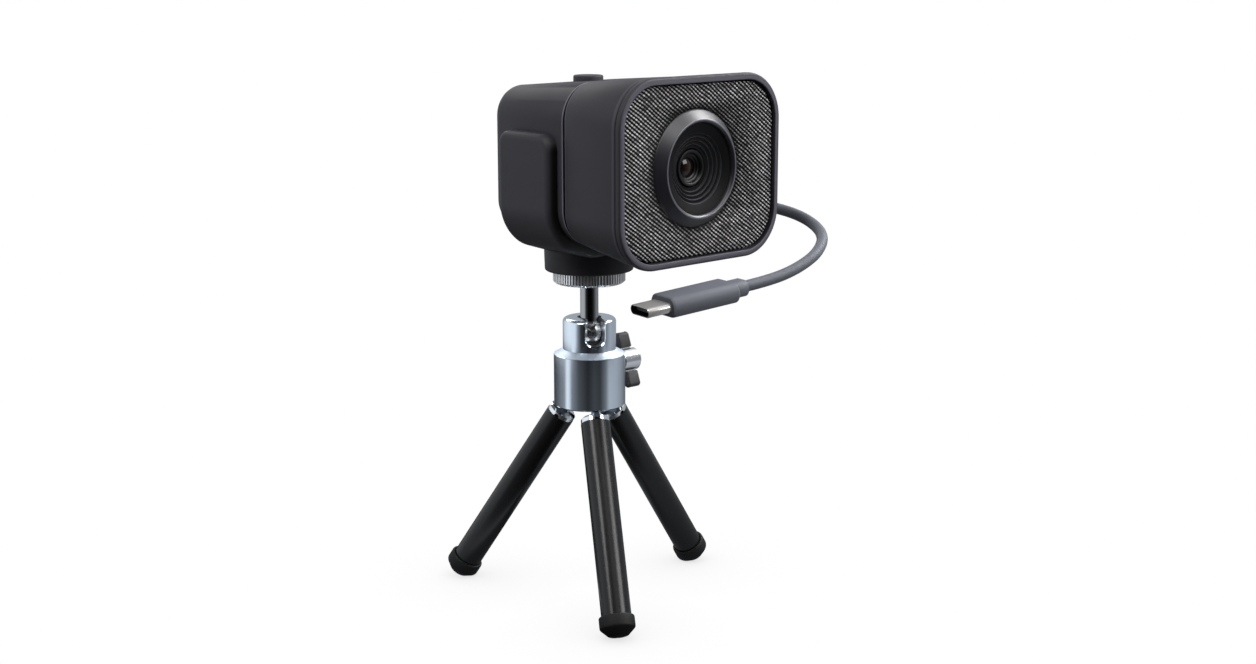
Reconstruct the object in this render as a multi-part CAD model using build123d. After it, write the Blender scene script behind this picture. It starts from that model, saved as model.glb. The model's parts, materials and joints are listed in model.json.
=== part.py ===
from build123d import *
from math import cos, radians, sin, tan
import os

# A webcam with a fabric face, held in a U-shaped cradle on a small ball-head tripod.
# Millimetres, +Z up, the lens looks along -Y. Pieces are drawn about the tripod's axis
# with the floor at zero and moved at the end, so that the origin is under the middle.

# Legs
LEG_AZIMUTHS = {"front": -32.4, "right": 87.6, "left": -152.4}
LEG_SPLAY = 32.9
LEG_LENGTH = 58.4
LEG_D = 8.0
LEG_WALL = 0.75
PIVOT_R = 8.5
PIVOT_DROP = 3.4
FORK_D = 7.8
FORK_TOP = 1.6
FORK_SPIGOT = 9.0
LUG_T = 1.5
LUG_R = 2.2
PIN_D = 1.5
PIN_LENGTH = 6.0
FOOT_D = 9.5
FOOT_LENGTH = 5.3
FOOT_TAPER = 2.0
FOOT_FLAT = 0.35
FOOT_FLOOR = 2.3

# Ball head
HEAD_D = 19.6
HEAD_LOWER_H = 14.3
HEAD_CONE_H = 1.4
NECK_D = 14.6
NECK_H = 9.7
BALL_D = 8.0
BALL_DEPTH = 5.5
THROAT_D = 7.0
SLOT_W = 5.4
SLOT_AZIMUTH = -29.0
POST_D = 5.0
POST_RISE = 14.1
STUD_D = 6.3
STUD_REACH = 5.9
DISC_D = 19.7
DISC_H = 3.4
DISC_RIBS = 72
RIB_DEPTH = 0.35
PLATE_D = 18.0
PLATE_H = 2.2
PLATE_SCREW_R = 6.3
SEAT_NOSE_R = 1.6

# Clamp screw
CLAMP_RISE = 10.4
CLAMP_D = 3.9
CLAMP_TIP_R = 0.5
CLAMP_BARREL_D = 6.2
CLAMP_BARREL_L = 6.4
CLAMP_GAP = 0.6
WING_TILT = 21.0
WING_REACH = 7.75
WING_TAB_T = 1.2
GRIP_SIZE = (4.4, 2.4, 4.6)

# Cradle
COLLAR_D = 24.0
COLLAR_TOP_D = 24.4
COLLAR_H = 6.9
INSERT_D = 9.5
INSERT_H = 6.2
YOKE_W = 57.2
YOKE_CORNER_R = 12.3
YOKE_SLOPE = 17.0
YOKE_BASE_W = 25.2
YOKE_DEPTH = 19.8
YOKE_BACK = 3.5
YOKE_ARM_RISE = 32.9
YOKE_ARM_R = 5.5
YOKE_EDGE = 1.2
CRADLE_FLOOR = 3.2
COLLAR_SCREW_X = 8.2
COLLAR_SCREW_Y = -4.0
COLLAR_SCREW_SINK = 0.68
COLLAR_SCREW_GRIP = 4.0

# Camera body
FACE_REACH = 42.3
FACE_W = 58.0
FACE_H = 47.6
FACE_R = 12.5
SEAM_BACK = 23.3
SEAM_W = 52.0
SEAM_H = 41.6
SEAM_R = 10.0
SEAM_LIFT = 1.0
REAR_BACK = 54.3
REAR_W = 47.6
REAR_H = 38.1
REAR_R = 9.0
REAR_LIFT = 0.85
REAR_ROUND = 3.4
WALL = 1.8
BEZEL_T = 1.9
BEZEL_DEPTH = 1.9
FABRIC_SINK = 0.8
FABRIC_T = 1.0
GRILLE_T = 1.6
GRILLE_INSET = 0.7
TONGUE_T = 1.2
TONGUE_L = 2.2

# Lens
LENS_X = -2.0
LENS_RISE = 0.65
LENS_BASE_R = 14.9
LENS_LIP_R = 12.75
LENS_LIP_T = 0.8
LENS_PROUD = 1.7
LENS_FLANGE_R = 16.6
LENS_FLANGE_T = 1.5
BAFFLE_STEPS = 4
BAFFLE_SINK = 1.0
BAFFLE_FLAT_R = 8.9
BAFFLE_DISH = 0.9
BARREL_R = 4.75
BARREL_SINK = 2.4
BARREL_L = 12.0
GLASS_R = 3.9
GLASS_T = 2.4
INNER_GLASS_R = 2.95
HOLDER_W = 13.0
HOLDER_L = 7.0
SENSOR_SIZE = (7.2, 5.6, 0.9)
SENSOR_BOARD_BACK = 16.0
SENSOR_BOARD_W = 34.0
SENSOR_POST_AT = 14.0

# Inside the body
BOARD_T = 1.0
POST_OD = 4.5
SCREW_D = 2.0
SCREW_HEAD_D = 3.6
SCREW_HEAD_H = 1.1
MAIN_BOARD_BACK = 30.0
MAIN_BOARD = (42.0, 32.0)
MAIN_POST_AT = (17.0, 12.0)
SPREADER = (26.0, 18.0, 2.0)
MIC_D = 4.0
MIC_T = 1.5

# Button
BUTTON_D = 8.0
BUTTON_PROUD = 1.3
BUTTON_TRAVEL = 0.8
BUTTON_FLANGE_D = 9.4
BUTTON_FLANGE_T = 0.8
SWITCH_SIZE = (6.0, 6.0, 2.4)
SWITCH_BOARD = (21.0, 8.0)
SWITCH_POST_X = 8.3

# Lead
CORD_D = 3.0
GLAND_D = 4.4
GLAND_FLANGE_D = 6.4
GLAND_L = 6.0
EXIT_X = 26.9
EXIT_AHEAD = 3.5
EXIT_DROP = 12.4
CORD_STEPS = [
    (0.0, 0.0, 0.0), (6.1, 0.0, 0.0), (14.6, -4.0, -1.7), (19.0, -14.0, -4.2), (15.6, -24.3, -7.6),
    (6.9, -29.7, -11.0), (-1.9, -30.4, -14.0), (-11.1, -29.2, -16.2), (-20.1, -27.4, -17.1)]
SLEEVE_SIZE = (6.2, 4.3)
SLEEVE_L = 4.2
PLUG_SIZE = (10.6, 5.2)
PLUG_L = 20.4
PLUG_ROUND = 0.8
SHELL_SIZE = (8.34, 2.56)
SHELL_L = 6.65
SHELL_WALL = 0.3
TONGUE_SIZE = (6.7, 0.7)
TONGUE_REACH = 5.4

# Clearances
RUN_FIT = 0.05
BALL_FIT = 0.08
SLIDE_FIT = 0.1
SET_FIT = 0.03
CRADLE_GAP = 0.4
FACE_GAP = 0.1

# Heights and depths that follow from them
foot_end_r = FOOT_D / 2 - FOOT_TAPER
pivot_z = LEG_LENGTH * cos(radians(LEG_SPLAY)) + foot_end_r * sin(radians(LEG_SPLAY)) - FOOT_FLAT
head_z = pivot_z + PIVOT_DROP
shoulder_z = head_z + HEAD_LOWER_H
neck_z = shoulder_z + HEAD_CONE_H
head_top_z = neck_z + NECK_H
ball_z = head_top_z - BALL_DEPTH
disc_z = ball_z + POST_RISE
collar_z = disc_z + DISC_H + FACE_GAP
yoke_z = collar_z + COLLAR_H
cam_z = yoke_z + CRADLE_FLOOR + CRADLE_GAP + SEAM_H / 2 - SEAM_LIFT
clamp_z = head_z + CLAMP_RISE
face_y = -FACE_REACH
lens_z = cam_z + LENS_RISE
grille_back = FABRIC_SINK + FABRIC_T
inside_back = grille_back + GRILLE_T
button_back = FACE_REACH
exit_point = Vector(EXIT_X, face_y + SEAM_BACK - EXIT_AHEAD, cam_z - EXIT_DROP)


def outward(azimuth):
    """Level direction away from the tripod's axis; azimuth 0 is straight ahead of the lens."""
    return Vector(sin(radians(azimuth)), -cos(radians(azimuth)), 0)


def around(azimuth):
    """Level direction square to outward(), the way the azimuth grows."""
    return Vector(cos(radians(azimuth)), sin(radians(azimuth)), 0)


def turned(profile):
    """Solid turned about Z from (radius, height) points."""
    return revolve(Plane.XZ * make_face(Polyline(*profile, close=True)), axis=Axis.Z)


def rod(radius, low, high):
    """Upright cylinder about Z between two heights."""
    return Pos(0, 0, (low + high) / 2) * Cylinder(radius, high - low)


def facing(x, back, z):
    """Plane square to the lens axis at a depth behind the rim; its normal points to the front."""
    return Plane(origin=(x, face_y + back, z), x_dir=(1, 0, 0), z_dir=(0, -1, 0))


def depthwise(x, z):
    """Places a piece drawn about Z so that its heights are depths behind the rim."""
    return Plane(origin=(x, face_y, z), x_dir=(1, 0, 0), z_dir=(0, 1, 0)).location


def slab(x, z, width, height, radius, front, back):
    """Rounded plate square to the lens axis between two depths behind the rim."""
    return extrude(facing(x, back, z) * RectangleRounded(width, height, radius), amount=back - front)


def ring_size(back):
    """Width, height, corner radius and centre lift of the body's outline at a depth."""
    face = (FACE_W, FACE_H, FACE_R, 0.0)
    seam = (SEAM_W, SEAM_H, SEAM_R, SEAM_LIFT)
    rear = (REAR_W, REAR_H, REAR_R, REAR_LIFT)
    if back <= SEAM_BACK:
        share = back / SEAM_BACK
        return [a + share * (b - a) for a, b in zip(face, seam)]
    share = (back - SEAM_BACK) / (REAR_BACK - SEAM_BACK)
    return [a + share * (b - a) for a, b in zip(seam, rear)]


def mic_x():
    """Microphones sit midway between the lens flange and the front shell's wall."""
    wall = ring_size(inside_back + MIC_T)[0] / 2 - WALL
    return (abs(LENS_X) + LENS_FLANGE_R + wall) / 2


def ring(back, inset=0.0):
    """Outline of the body at a depth, drawn inwards by inset."""
    width, height, radius, lift = ring_size(back)
    shape = RectangleRounded(width - 2 * inset, height - 2 * inset, radius - inset)
    return facing(0, back, cam_z + lift) * shape


def skin(front, back, inset=0.0):
    """Solid inside the body's outline between two depths."""
    return loft([ring(back, inset), ring(front, inset)], ruled=True)


def group(pieces):
    """Several separate solids as one piece."""
    together = pieces[0]
    for piece in pieces[1:]:
        together += piece
    return together


def screw(length):
    """Small screw along -Z: head above zero, shank below."""
    return rod(SCREW_HEAD_D / 2, 0, SCREW_HEAD_H) + rod(SCREW_D / 2, -length, 0)


# Legs: drawn with the pivot at the origin and the leg hanging down, +X outwards
def leg_place(azimuth):
    hang = Pos(PIVOT_R, 0, 0) * Rot(0, -LEG_SPLAY, 0)
    return Pos(0, 0, pivot_z) * Rot(0, 0, azimuth - 90) * hang


def leg_fork():
    body = rod(FORK_D / 2, 0, FORK_TOP) + rod(LEG_D / 2 - LEG_WALL - SET_FIT, -FORK_SPIGOT, 0)
    body = chamfer(body.edges().group_by(Axis.Z)[-1], 0.5)
    hang = (Align.CENTER, Align.CENTER, Align.MAX)
    slot = Box(2 * LEG_D, LUG_T + 2 * SLIDE_FIT, FORK_TOP + LUG_R + 0.5, align=hang)
    body -= Pos(0, 0, FORK_TOP) * slot
    return body - Rot(90, 0, 0) * Cylinder(PIN_D / 2 + SET_FIT, 2 * LEG_D)


def leg_tube():
    return rod(LEG_D / 2, -LEG_LENGTH + FOOT_FLOOR, 0) - rod(LEG_D / 2 - LEG_WALL, -LEG_LENGTH, 0)


def leg_foot():
    cap = rod(FOOT_D / 2, -LEG_LENGTH, -LEG_LENGTH + FOOT_LENGTH)
    cap = chamfer(cap.edges().group_by(Axis.Z)[0], FOOT_TAPER)
    cap = fillet(cap.edges().group_by(Axis.Z)[-1], 0.4)
    return cap - rod(LEG_D / 2 + SET_FIT, -LEG_LENGTH + FOOT_FLOOR, 0)


def leg_pin():
    return Rot(90, 0, 0) * Cylinder(PIN_D / 2, PIN_LENGTH)


def floor_cut(solid):
    depth = 2 * LEG_LENGTH
    return solid - Pos(0, 0, -depth / 2) * Box(4 * LEG_LENGTH, 4 * LEG_LENGTH, depth)


# Ball head
def head_body():
    lower_r = HEAD_D / 2
    upper_r = NECK_D / 2
    body = turned([
        (0, head_z), (lower_r - 0.4, head_z), (lower_r, head_z + 0.4), (lower_r, shoulder_z),
        (upper_r, neck_z), (upper_r, head_top_z), (0, head_top_z)])
    body = fillet(body.edges().group_by(Axis.Z)[-1], 1.1)
    body -= rod(PLATE_D / 2 + SET_FIT, head_z - 1, head_z + PLATE_H)
    body -= rod(BALL_D / 2 + BALL_FIT, head_z, ball_z)
    body -= Pos(0, 0, ball_z) * Sphere(BALL_D / 2 + BALL_FIT)
    body -= rod(THROAT_D / 2, ball_z, head_top_z + 1)
    side = Plane(origin=(0, 0, ball_z), x_dir=around(SLOT_AZIMUTH), z_dir=outward(SLOT_AZIMUTH))
    slot = Circle(SLOT_W / 2) + Pos(0, BALL_DEPTH) * Rectangle(SLOT_W, 2 * BALL_DEPTH)
    body -= extrude(side * slot, amount=HEAD_D)
    hole = Plane(origin=(0, 0, clamp_z), z_dir=outward(LEG_AZIMUTHS["right"]))
    body -= extrude(hole * Circle(CLAMP_D / 2 + RUN_FIT), amount=HEAD_D)
    for azimuth in LEG_AZIMUTHS.values():
        at = outward(azimuth + 60) * PLATE_SCREW_R
        body -= Pos(at.X, at.Y, 0) * rod(SCREW_D / 2 + SET_FIT, head_z, head_z + PLATE_H + 4.2)
    return body


def leg_plate():
    plate = rod(PLATE_D / 2, head_z, head_z + PLATE_H)
    for azimuth in LEG_AZIMUTHS.values():
        lug = Pos(0, 0, PIVOT_DROP / 2) * Box(2 * LUG_R, LUG_T, PIVOT_DROP)
        lug += Rot(90, 0, 0) * Cylinder(LUG_R, LUG_T)
        lug -= Rot(90, 0, 0) * Cylinder(PIN_D / 2 + RUN_FIT, 2 * LUG_T)
        plate += Pos(0, 0, pivot_z) * Rot(0, 0, azimuth - 90) * Pos(PIVOT_R, 0, 0) * lug
        at = outward(azimuth + 60) * PLATE_SCREW_R
        hole = rod(SCREW_D / 2 + SET_FIT, head_z - 1, head_z + PLATE_H + 1)
        hole += rod(SCREW_HEAD_D / 2 + SET_FIT, head_z - 1, head_z + SCREW_HEAD_H)
        plate -= Pos(at.X, at.Y, 0) * hole
    return plate


def plate_screws():
    screws = []
    for azimuth in LEG_AZIMUTHS.values():
        at = outward(azimuth + 60) * PLATE_SCREW_R
        screws.append(Pos(at.X, at.Y, head_z + SCREW_HEAD_H) * Rot(180, 0, 0) * screw(PLATE_H + 2.8))
    return group(screws)


def ball_seat():
    radius = BALL_D / 2
    nose_z = clamp_z + CLAMP_D / 2 - 0.9
    seat = turned([
        (0, nose_z), (SEAT_NOSE_R, nose_z), (radius, nose_z + radius - SEAT_NOSE_R),
        (radius, ball_z - 1.9), (0, ball_z - 1.9)])
    return seat - Pos(0, 0, ball_z) * Sphere(BALL_D / 2 + SLIDE_FIT)


def ball_stem():
    post = turned([
        (0, ball_z), (POST_D / 2 - 0.3, ball_z), (POST_D / 2 - 0.3, ball_z + 5.0),
        (POST_D / 2, ball_z + 5.4),
        (POST_D / 2, disc_z), (STUD_D / 2, disc_z), (STUD_D / 2, collar_z + STUD_REACH - 0.6),
        (STUD_D / 2 - 0.6, collar_z + STUD_REACH), (0, collar_z + STUD_REACH)])
    return post + Pos(0, 0, ball_z) * Sphere(BALL_D / 2)


def lock_disc():
    disc = rod(DISC_D / 2, disc_z, disc_z + DISC_H)
    disc = chamfer(disc.edges(), 0.3)
    groove = Pos(DISC_D / 2, 0, disc_z) * Rot(0, 0, 45) * Box(RIB_DEPTH * 1.4, RIB_DEPTH * 1.4, 3 * DISC_H)
    disc -= PolarLocations(0, DISC_RIBS) * groove
    return disc - rod(STUD_D / 2 + RUN_FIT, disc_z - 1, disc_z + DISC_H + 1)


# Clamp screw: drawn along +Z, the heights are distances from the tripod's axis
clamp_azimuth = LEG_AZIMUTHS["right"]
wing_up = Vector(0, 0, cos(radians(WING_TILT))) + around(clamp_azimuth) * sin(radians(WING_TILT))
clamp_place = Plane(
    origin=(0, 0, clamp_z), x_dir=wing_up, z_dir=outward(clamp_azimuth)).location
barrel_from = HEAD_D / 2 + CLAMP_GAP
barrel_mid = barrel_from + CLAMP_BARREL_L / 2


def clamp_screw():
    shank = CLAMP_D / 2
    cone_from = SEAT_NOSE_R + 1.1
    screw_body = turned([
        (0, cone_from - shank + CLAMP_TIP_R), (CLAMP_TIP_R, cone_from - shank + CLAMP_TIP_R),
        (shank, cone_from),
        (shank, barrel_from), (CLAMP_BARREL_D / 2 - 0.4, barrel_from),
        (CLAMP_BARREL_D / 2, barrel_from + 0.4),
        (CLAMP_BARREL_D / 2, barrel_from + CLAMP_BARREL_L - 0.6),
        (CLAMP_BARREL_D / 2 - 0.6, barrel_from + CLAMP_BARREL_L), (0, barrel_from + CLAMP_BARREL_L)])
    tabs = Pos(0, 0, barrel_mid) * Box(2 * WING_REACH - 2.4, WING_TAB_T, GRIP_SIZE[2] - 1.2)
    return clamp_place * (screw_body + tabs)


def clamp_grips():
    grips = []
    gap = SET_FIT
    tabs = Box(2 * (WING_REACH - 1.2 + gap), WING_TAB_T + 2 * gap, GRIP_SIZE[2] - 1.2 + 2 * gap)
    for side in (-1, 1):
        lobe = Box(*GRIP_SIZE)
        lobe = fillet(lobe.edges(), 0.9)
        lobe = Pos(side * (WING_REACH - GRIP_SIZE[0] / 2), 0, 0) * lobe - tabs
        lobe -= Cylinder(CLAMP_BARREL_D / 2 + gap, 2 * CLAMP_BARREL_L)
        grips.append(clamp_place * Pos(0, 0, barrel_mid) * lobe)
    return group(grips)


# Cradle
def screw_seat_z():
    """Height of the seat for the collar screws' heads, sunk in the cradle's floor."""
    width, height, radius, lift = ring_size(FACE_REACH + COLLAR_SCREW_Y)
    floor_top = cam_z + lift - height / 2 - CRADLE_GAP
    return floor_top - SCREW_HEAD_H - COLLAR_SCREW_SINK


def yoke():
    half = YOKE_W / 2
    base = YOKE_BASE_W / 2
    corner_z = yoke_z + (half - base) * tan(radians(YOKE_SLOPE))
    arm_top = yoke_z + YOKE_ARM_RISE
    outline = make_face(Polyline(
        (-half, arm_top), (-half, corner_z), (-base, yoke_z),
        (base, yoke_z), (half, corner_z), (half, arm_top),
        close=True))
    outline = fillet([v for v in outline.vertices() if abs(v.Y - corner_z) < 0.01], YOKE_CORNER_R)
    rear = Plane(origin=(0, YOKE_BACK, 0), x_dir=(1, 0, 0), z_dir=(0, -1, 0))
    block = extrude(rear * outline, amount=YOKE_DEPTH)
    tops = [e for e in block.edges() if e.center().Z > arm_top - 0.01 and e.bounding_box().size.X > 1]
    block = fillet(tops, YOKE_ARM_R)
    rims = [e for e in block.edges() if abs(e.center().X) > half - YOKE_CORNER_R]
    rims = [e for e in rims if e.bounding_box().size.Y < 0.01 or abs(abs(e.center().X) - half) < 0.01]
    block = fillet(rims, YOKE_EDGE)
    front = YOKE_BACK - YOKE_DEPTH - face_y - 2
    block -= skin(front, REAR_BACK, -CRADLE_GAP)
    for side in (-1, 1):
        at = Pos(side * COLLAR_SCREW_X, COLLAR_SCREW_Y, 0)
        block -= at * rod(SCREW_D / 2 + SET_FIT, yoke_z - 1, cam_z)
        block -= at * rod(SCREW_HEAD_D / 2 + SLIDE_FIT, screw_seat_z(), cam_z)
    return block


def thread_collar():
    collar = turned([(0, collar_z), (COLLAR_D / 2, collar_z), (COLLAR_TOP_D / 2, yoke_z), (0, yoke_z)])
    collar = fillet(collar.edges().group_by(Axis.Z)[0], 0.5)
    collar -= rod(INSERT_D / 2 + SET_FIT, collar_z - 1, collar_z + INSERT_H)
    for side in (-1, 1):
        hole = rod(SCREW_D / 2 + SET_FIT, yoke_z - COLLAR_SCREW_GRIP - 0.5, yoke_z + 1)
        collar -= Pos(side * COLLAR_SCREW_X, COLLAR_SCREW_Y, 0) * hole
    return collar


def thread_insert():
    bush = rod(INSERT_D / 2, collar_z, collar_z + INSERT_H)
    return bush - rod(STUD_D / 2 + RUN_FIT, collar_z - 1, yoke_z + 1)


def collar_screws():
    seat_z = screw_seat_z()
    one = Pos(0, COLLAR_SCREW_Y, seat_z) * screw(seat_z - yoke_z + COLLAR_SCREW_GRIP)
    return group([Pos(side * COLLAR_SCREW_X, 0, 0) * one for side in (-1, 1)])


# Camera body
def front_bezel():
    rim = skin(0, BEZEL_DEPTH)
    rim = fillet(rim.edges().group_by(Axis.Y)[0], 0.6)
    rim = chamfer(rim.edges().group_by(Axis.Y)[-1], 0.3)
    wide, tall = FACE_W - 2 * BEZEL_T, FACE_H - 2 * BEZEL_T
    return rim - slab(0, cam_z, wide, tall, FACE_R - BEZEL_T, -1, BEZEL_DEPTH + 1)


def fabric_cover():
    inset = BEZEL_T + 2 * SLIDE_FIT
    cover = slab(0, cam_z, FACE_W - 2 * inset, FACE_H - 2 * inset, FACE_R - inset, FABRIC_SINK, grille_back)
    cover = fillet(cover.edges().group_by(Axis.Y)[0], 0.5)
    return cover - depthwise(LENS_X, lens_z) * rod(LENS_BASE_R + SLIDE_FIT, -5, 5)


def sensor_posts():
    return [(LENS_X + i * SENSOR_POST_AT, lens_z + j * SENSOR_POST_AT) for i in (-1, 1) for j in (-1, 1)]


def grille_plate():
    inset = BEZEL_T + GRILLE_INSET
    plate = slab(0, cam_z, FACE_W - 2 * inset, FACE_H - 2 * inset, FACE_R - inset, grille_back, inside_back)
    for x, z in sensor_posts():
        post = rod(POST_OD / 2, inside_back, SENSOR_BOARD_BACK)
        post -= rod(SCREW_D / 2 + SET_FIT, SENSOR_BOARD_BACK - 5, SENSOR_BOARD_BACK)
        plate += depthwise(x, z) * post
    for side in (-1, 1):
        plate -= depthwise(side * mic_x(), cam_z) * rod(0.6, 0, inside_back + 1)
    return plate - depthwise(LENS_X, lens_z) * rod(LENS_BASE_R + SLIDE_FIT, 0, inside_back + 1)


def gland_bore(radius):
    """Room for the lead's gland, from its outer end inwards."""
    return extrude(Plane(origin=exit_point, z_dir=(-1, 0, 0)) * Circle(radius), amount=GLAND_L + 2)


def front_shell():
    shell = skin(BEZEL_DEPTH, SEAM_BACK)
    shell = chamfer(shell.edges().group_by(Axis.Y)[0] + shell.edges().group_by(Axis.Y)[-1], 0.3)
    shell -= skin(BEZEL_DEPTH, SEAM_BACK, WALL)
    return shell - gland_bore(GLAND_D / 2 + SET_FIT)


def rear_shell():
    shell = skin(SEAM_BACK, REAR_BACK)
    shell = fillet(shell.edges().group_by(Axis.Y)[-1], REAR_ROUND)
    shell = chamfer(shell.edges().group_by(Axis.Y)[0], 0.3)
    shell -= skin(SEAM_BACK, REAR_BACK - WALL, WALL)
    width, height, radius, lift = ring_size(SEAM_BACK)
    inset = WALL + SLIDE_FIT
    outer = (width - 2 * inset, height - 2 * inset, radius - inset)
    inner = (outer[0] - 2 * TONGUE_T, outer[1] - 2 * TONGUE_T, outer[2] - TONGUE_T)
    root = (width - WALL, height - WALL, radius - WALL / 2)
    tongue = slab(0, cam_z + lift, *outer, SEAM_BACK - TONGUE_L, SEAM_BACK)
    tongue += slab(0, cam_z + lift, *root, SEAM_BACK, SEAM_BACK + TONGUE_L)
    tongue -= slab(0, cam_z + lift, *inner, SEAM_BACK - TONGUE_L - 1, SEAM_BACK + TONGUE_L + 1)
    tongue -= gland_bore(GLAND_FLANGE_D / 2 + CRADLE_GAP)
    shell += tongue
    for x, z in main_posts():
        post = rod(POST_OD / 2, MAIN_BOARD_BACK + BOARD_T, REAR_BACK - WALL + 0.5)
        post -= rod(SCREW_D / 2 + SET_FIT, MAIN_BOARD_BACK, MAIN_BOARD_BACK + 6)
        shell += depthwise(x, z) * post
    for side in (-1, 1):
        post = rod(POST_OD / 2 - 0.5, switch_board_z + BOARD_T, button_z - 0.5 * WALL)
        post -= rod(SCREW_D / 2 + SET_FIT, switch_board_z, switch_board_z + 4.2)
        shell += Pos(side * SWITCH_POST_X, 0, 0) * post
    return shell - rod(BUTTON_D / 2 + SLIDE_FIT, button_z - 2 * WALL, button_z + 5)


def main_posts():
    return [(i * MAIN_POST_AT[0], cam_z + j * MAIN_POST_AT[1]) for i in (-1, 1) for j in (-1, 1)]


def main_board():
    board = slab(0, cam_z, *MAIN_BOARD, 1.5, MAIN_BOARD_BACK, MAIN_BOARD_BACK + BOARD_T)
    for x, z in main_posts():
        hole = rod(SCREW_D / 2 + SET_FIT, MAIN_BOARD_BACK - 1, MAIN_BOARD_BACK + BOARD_T + 1)
        board -= depthwise(x, z) * hole
    return board


def heat_spreader():
    front = MAIN_BOARD_BACK + BOARD_T
    plate = slab(0, cam_z, SPREADER[0], SPREADER[1], 1.5, front, front + SPREADER[2])
    for step in (-8, -4, 0, 4, 8):
        plate += slab(step, cam_z, 1.4, SPREADER[1] - 2, 0.5, front, front + 3 * SPREADER[2])
    return plate


def main_screws():
    turn = Rot(180, 0, 0)
    one = Pos(0, 0, MAIN_BOARD_BACK) * turn * screw(BOARD_T + 4.5)
    screws = [depthwise(x, z) * one for x, z in main_posts()]
    return group(screws)


# Lens
lens_place = depthwise(LENS_X, lens_z)
lip_in_r = LENS_LIP_R - LENS_LIP_T
flange_back = inside_back + FACE_GAP
baffle_end = flange_back + LENS_FLANGE_T
barrel_end = BARREL_SINK + BARREL_L


def lens_housing():
    return lens_place * turned([
        (lip_in_r, -LENS_PROUD), (LENS_LIP_R - 0.15, -LENS_PROUD), (LENS_LIP_R, -LENS_PROUD + 0.15),
        (LENS_BASE_R, FABRIC_SINK - 0.2), (LENS_BASE_R, flange_back), (LENS_FLANGE_R, flange_back),
        (LENS_FLANGE_R, baffle_end), (lip_in_r, baffle_end)])


def lens_baffle():
    outer = lip_in_r - SET_FIT
    inner = BARREL_R + 2 * SLIDE_FIT
    start = BAFFLE_SINK - LENS_PROUD
    width = (BAFFLE_FLAT_R - inner) / BAFFLE_STEPS
    drop = (BARREL_SINK - start - BAFFLE_DISH) / BAFFLE_STEPS
    points = [(outer, baffle_end), (outer, start), (BAFFLE_FLAT_R, start + BAFFLE_DISH)]
    for step in range(1, BAFFLE_STEPS + 1):
        depth = start + BAFFLE_DISH + step * drop
        points.append((BAFFLE_FLAT_R - (step - 1) * width, depth))
        points.append((BAFFLE_FLAT_R - step * width, depth))
    points.append((inner, baffle_end))
    return lens_place * turned(points)


def lens_barrel():
    glass_front = BARREL_SINK + 0.4
    barrel = rod(BARREL_R, BARREL_SINK, barrel_end)
    barrel = chamfer(barrel.edges().group_by(Axis.Z)[0], 0.3)
    barrel -= rod(GLASS_R + SET_FIT, BARREL_SINK - 1, glass_front + GLASS_T)
    return lens_place * (barrel - rod(INNER_GLASS_R + SET_FIT, BARREL_SINK, barrel_end + 1))


def front_lens():
    front = BARREL_SINK + 0.4
    lens = rod(GLASS_R, front, front + GLASS_T)
    curve = 9.0
    return lens_place * (lens & Pos(0, 0, front + curve) * Sphere(curve))


def inner_lens():
    front = BARREL_SINK + GLASS_T + 2.4
    return lens_place * rod(INNER_GLASS_R, front, front + 2.2)


def lens_holder():
    holder = Box(HOLDER_W, HOLDER_W, HOLDER_L) - Cylinder(BARREL_R + SET_FIT, 2 * HOLDER_L)
    return lens_place * Pos(0, 0, SENSOR_BOARD_BACK - HOLDER_L / 2) * holder


def image_sensor():
    return lens_place * Pos(0, 0, SENSOR_BOARD_BACK - SENSOR_SIZE[2] / 2) * Box(*SENSOR_SIZE)


def sensor_board():
    board_back = SENSOR_BOARD_BACK + BOARD_T
    board = slab(LENS_X, lens_z, SENSOR_BOARD_W, SENSOR_BOARD_W, 2.5, SENSOR_BOARD_BACK, board_back)
    for x, z in sensor_posts():
        board -= depthwise(x, z) * rod(SCREW_D / 2 + SET_FIT, SENSOR_BOARD_BACK - 1, board_back + 1)
    return board


def sensor_screws():
    back = SENSOR_BOARD_BACK + BOARD_T
    return group([depthwise(x, z) * Pos(0, 0, back) * screw(BOARD_T + 4.5) for x, z in sensor_posts()])


def microphones():
    capsule = rod(MIC_D / 2, inside_back, inside_back + MIC_T)
    capsules = [depthwise(i * mic_x(), cam_z) * capsule for i in (-1, 1)]
    return group(capsules)


# Button on top, straight above the tripod's axis
button_size = ring_size(button_back)
button_z = cam_z + button_size[3] + button_size[1] / 2
button_flange_z = button_z - WALL - 0.45
switch_top_z = button_flange_z - BUTTON_FLANGE_T - BUTTON_TRAVEL - FACE_GAP
switch_board_z = switch_top_z - SWITCH_SIZE[2] - BOARD_T


def button_cap():
    cap = rod(BUTTON_D / 2, button_flange_z, button_z + BUTTON_PROUD)
    cap = fillet(cap.edges().group_by(Axis.Z)[-1], 0.4)
    return cap + rod(BUTTON_FLANGE_D / 2, button_flange_z - BUTTON_FLANGE_T, button_flange_z)


def tact_switch():
    return Pos(0, 0, switch_top_z - SWITCH_SIZE[2] / 2) * Box(*SWITCH_SIZE)


def switch_board():
    board = Pos(0, 0, switch_board_z + BOARD_T / 2) * Box(*SWITCH_BOARD, BOARD_T)
    for side in (-1, 1):
        hole = rod(SCREW_D / 2 + SET_FIT, switch_board_z - 1, switch_top_z)
        board -= Pos(side * SWITCH_POST_X, 0, 0) * hole
    return board


def switch_screws():
    turn = Rot(180, 0, 0)
    screws = [Pos(i * SWITCH_POST_X, 0, switch_board_z) * turn * screw(BOARD_T + 3.0) for i in (-1, 1)]
    return group(screws)


# Lead and plug
cord_points = [exit_point + Vector(*step) for step in CORD_STEPS]
cord_end = cord_points[-1]
plug_way = (cord_points[-1] - cord_points[-2]).normalized()
plug_across = plug_way.cross(Vector(0, 0, 1)).normalized()


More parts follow.
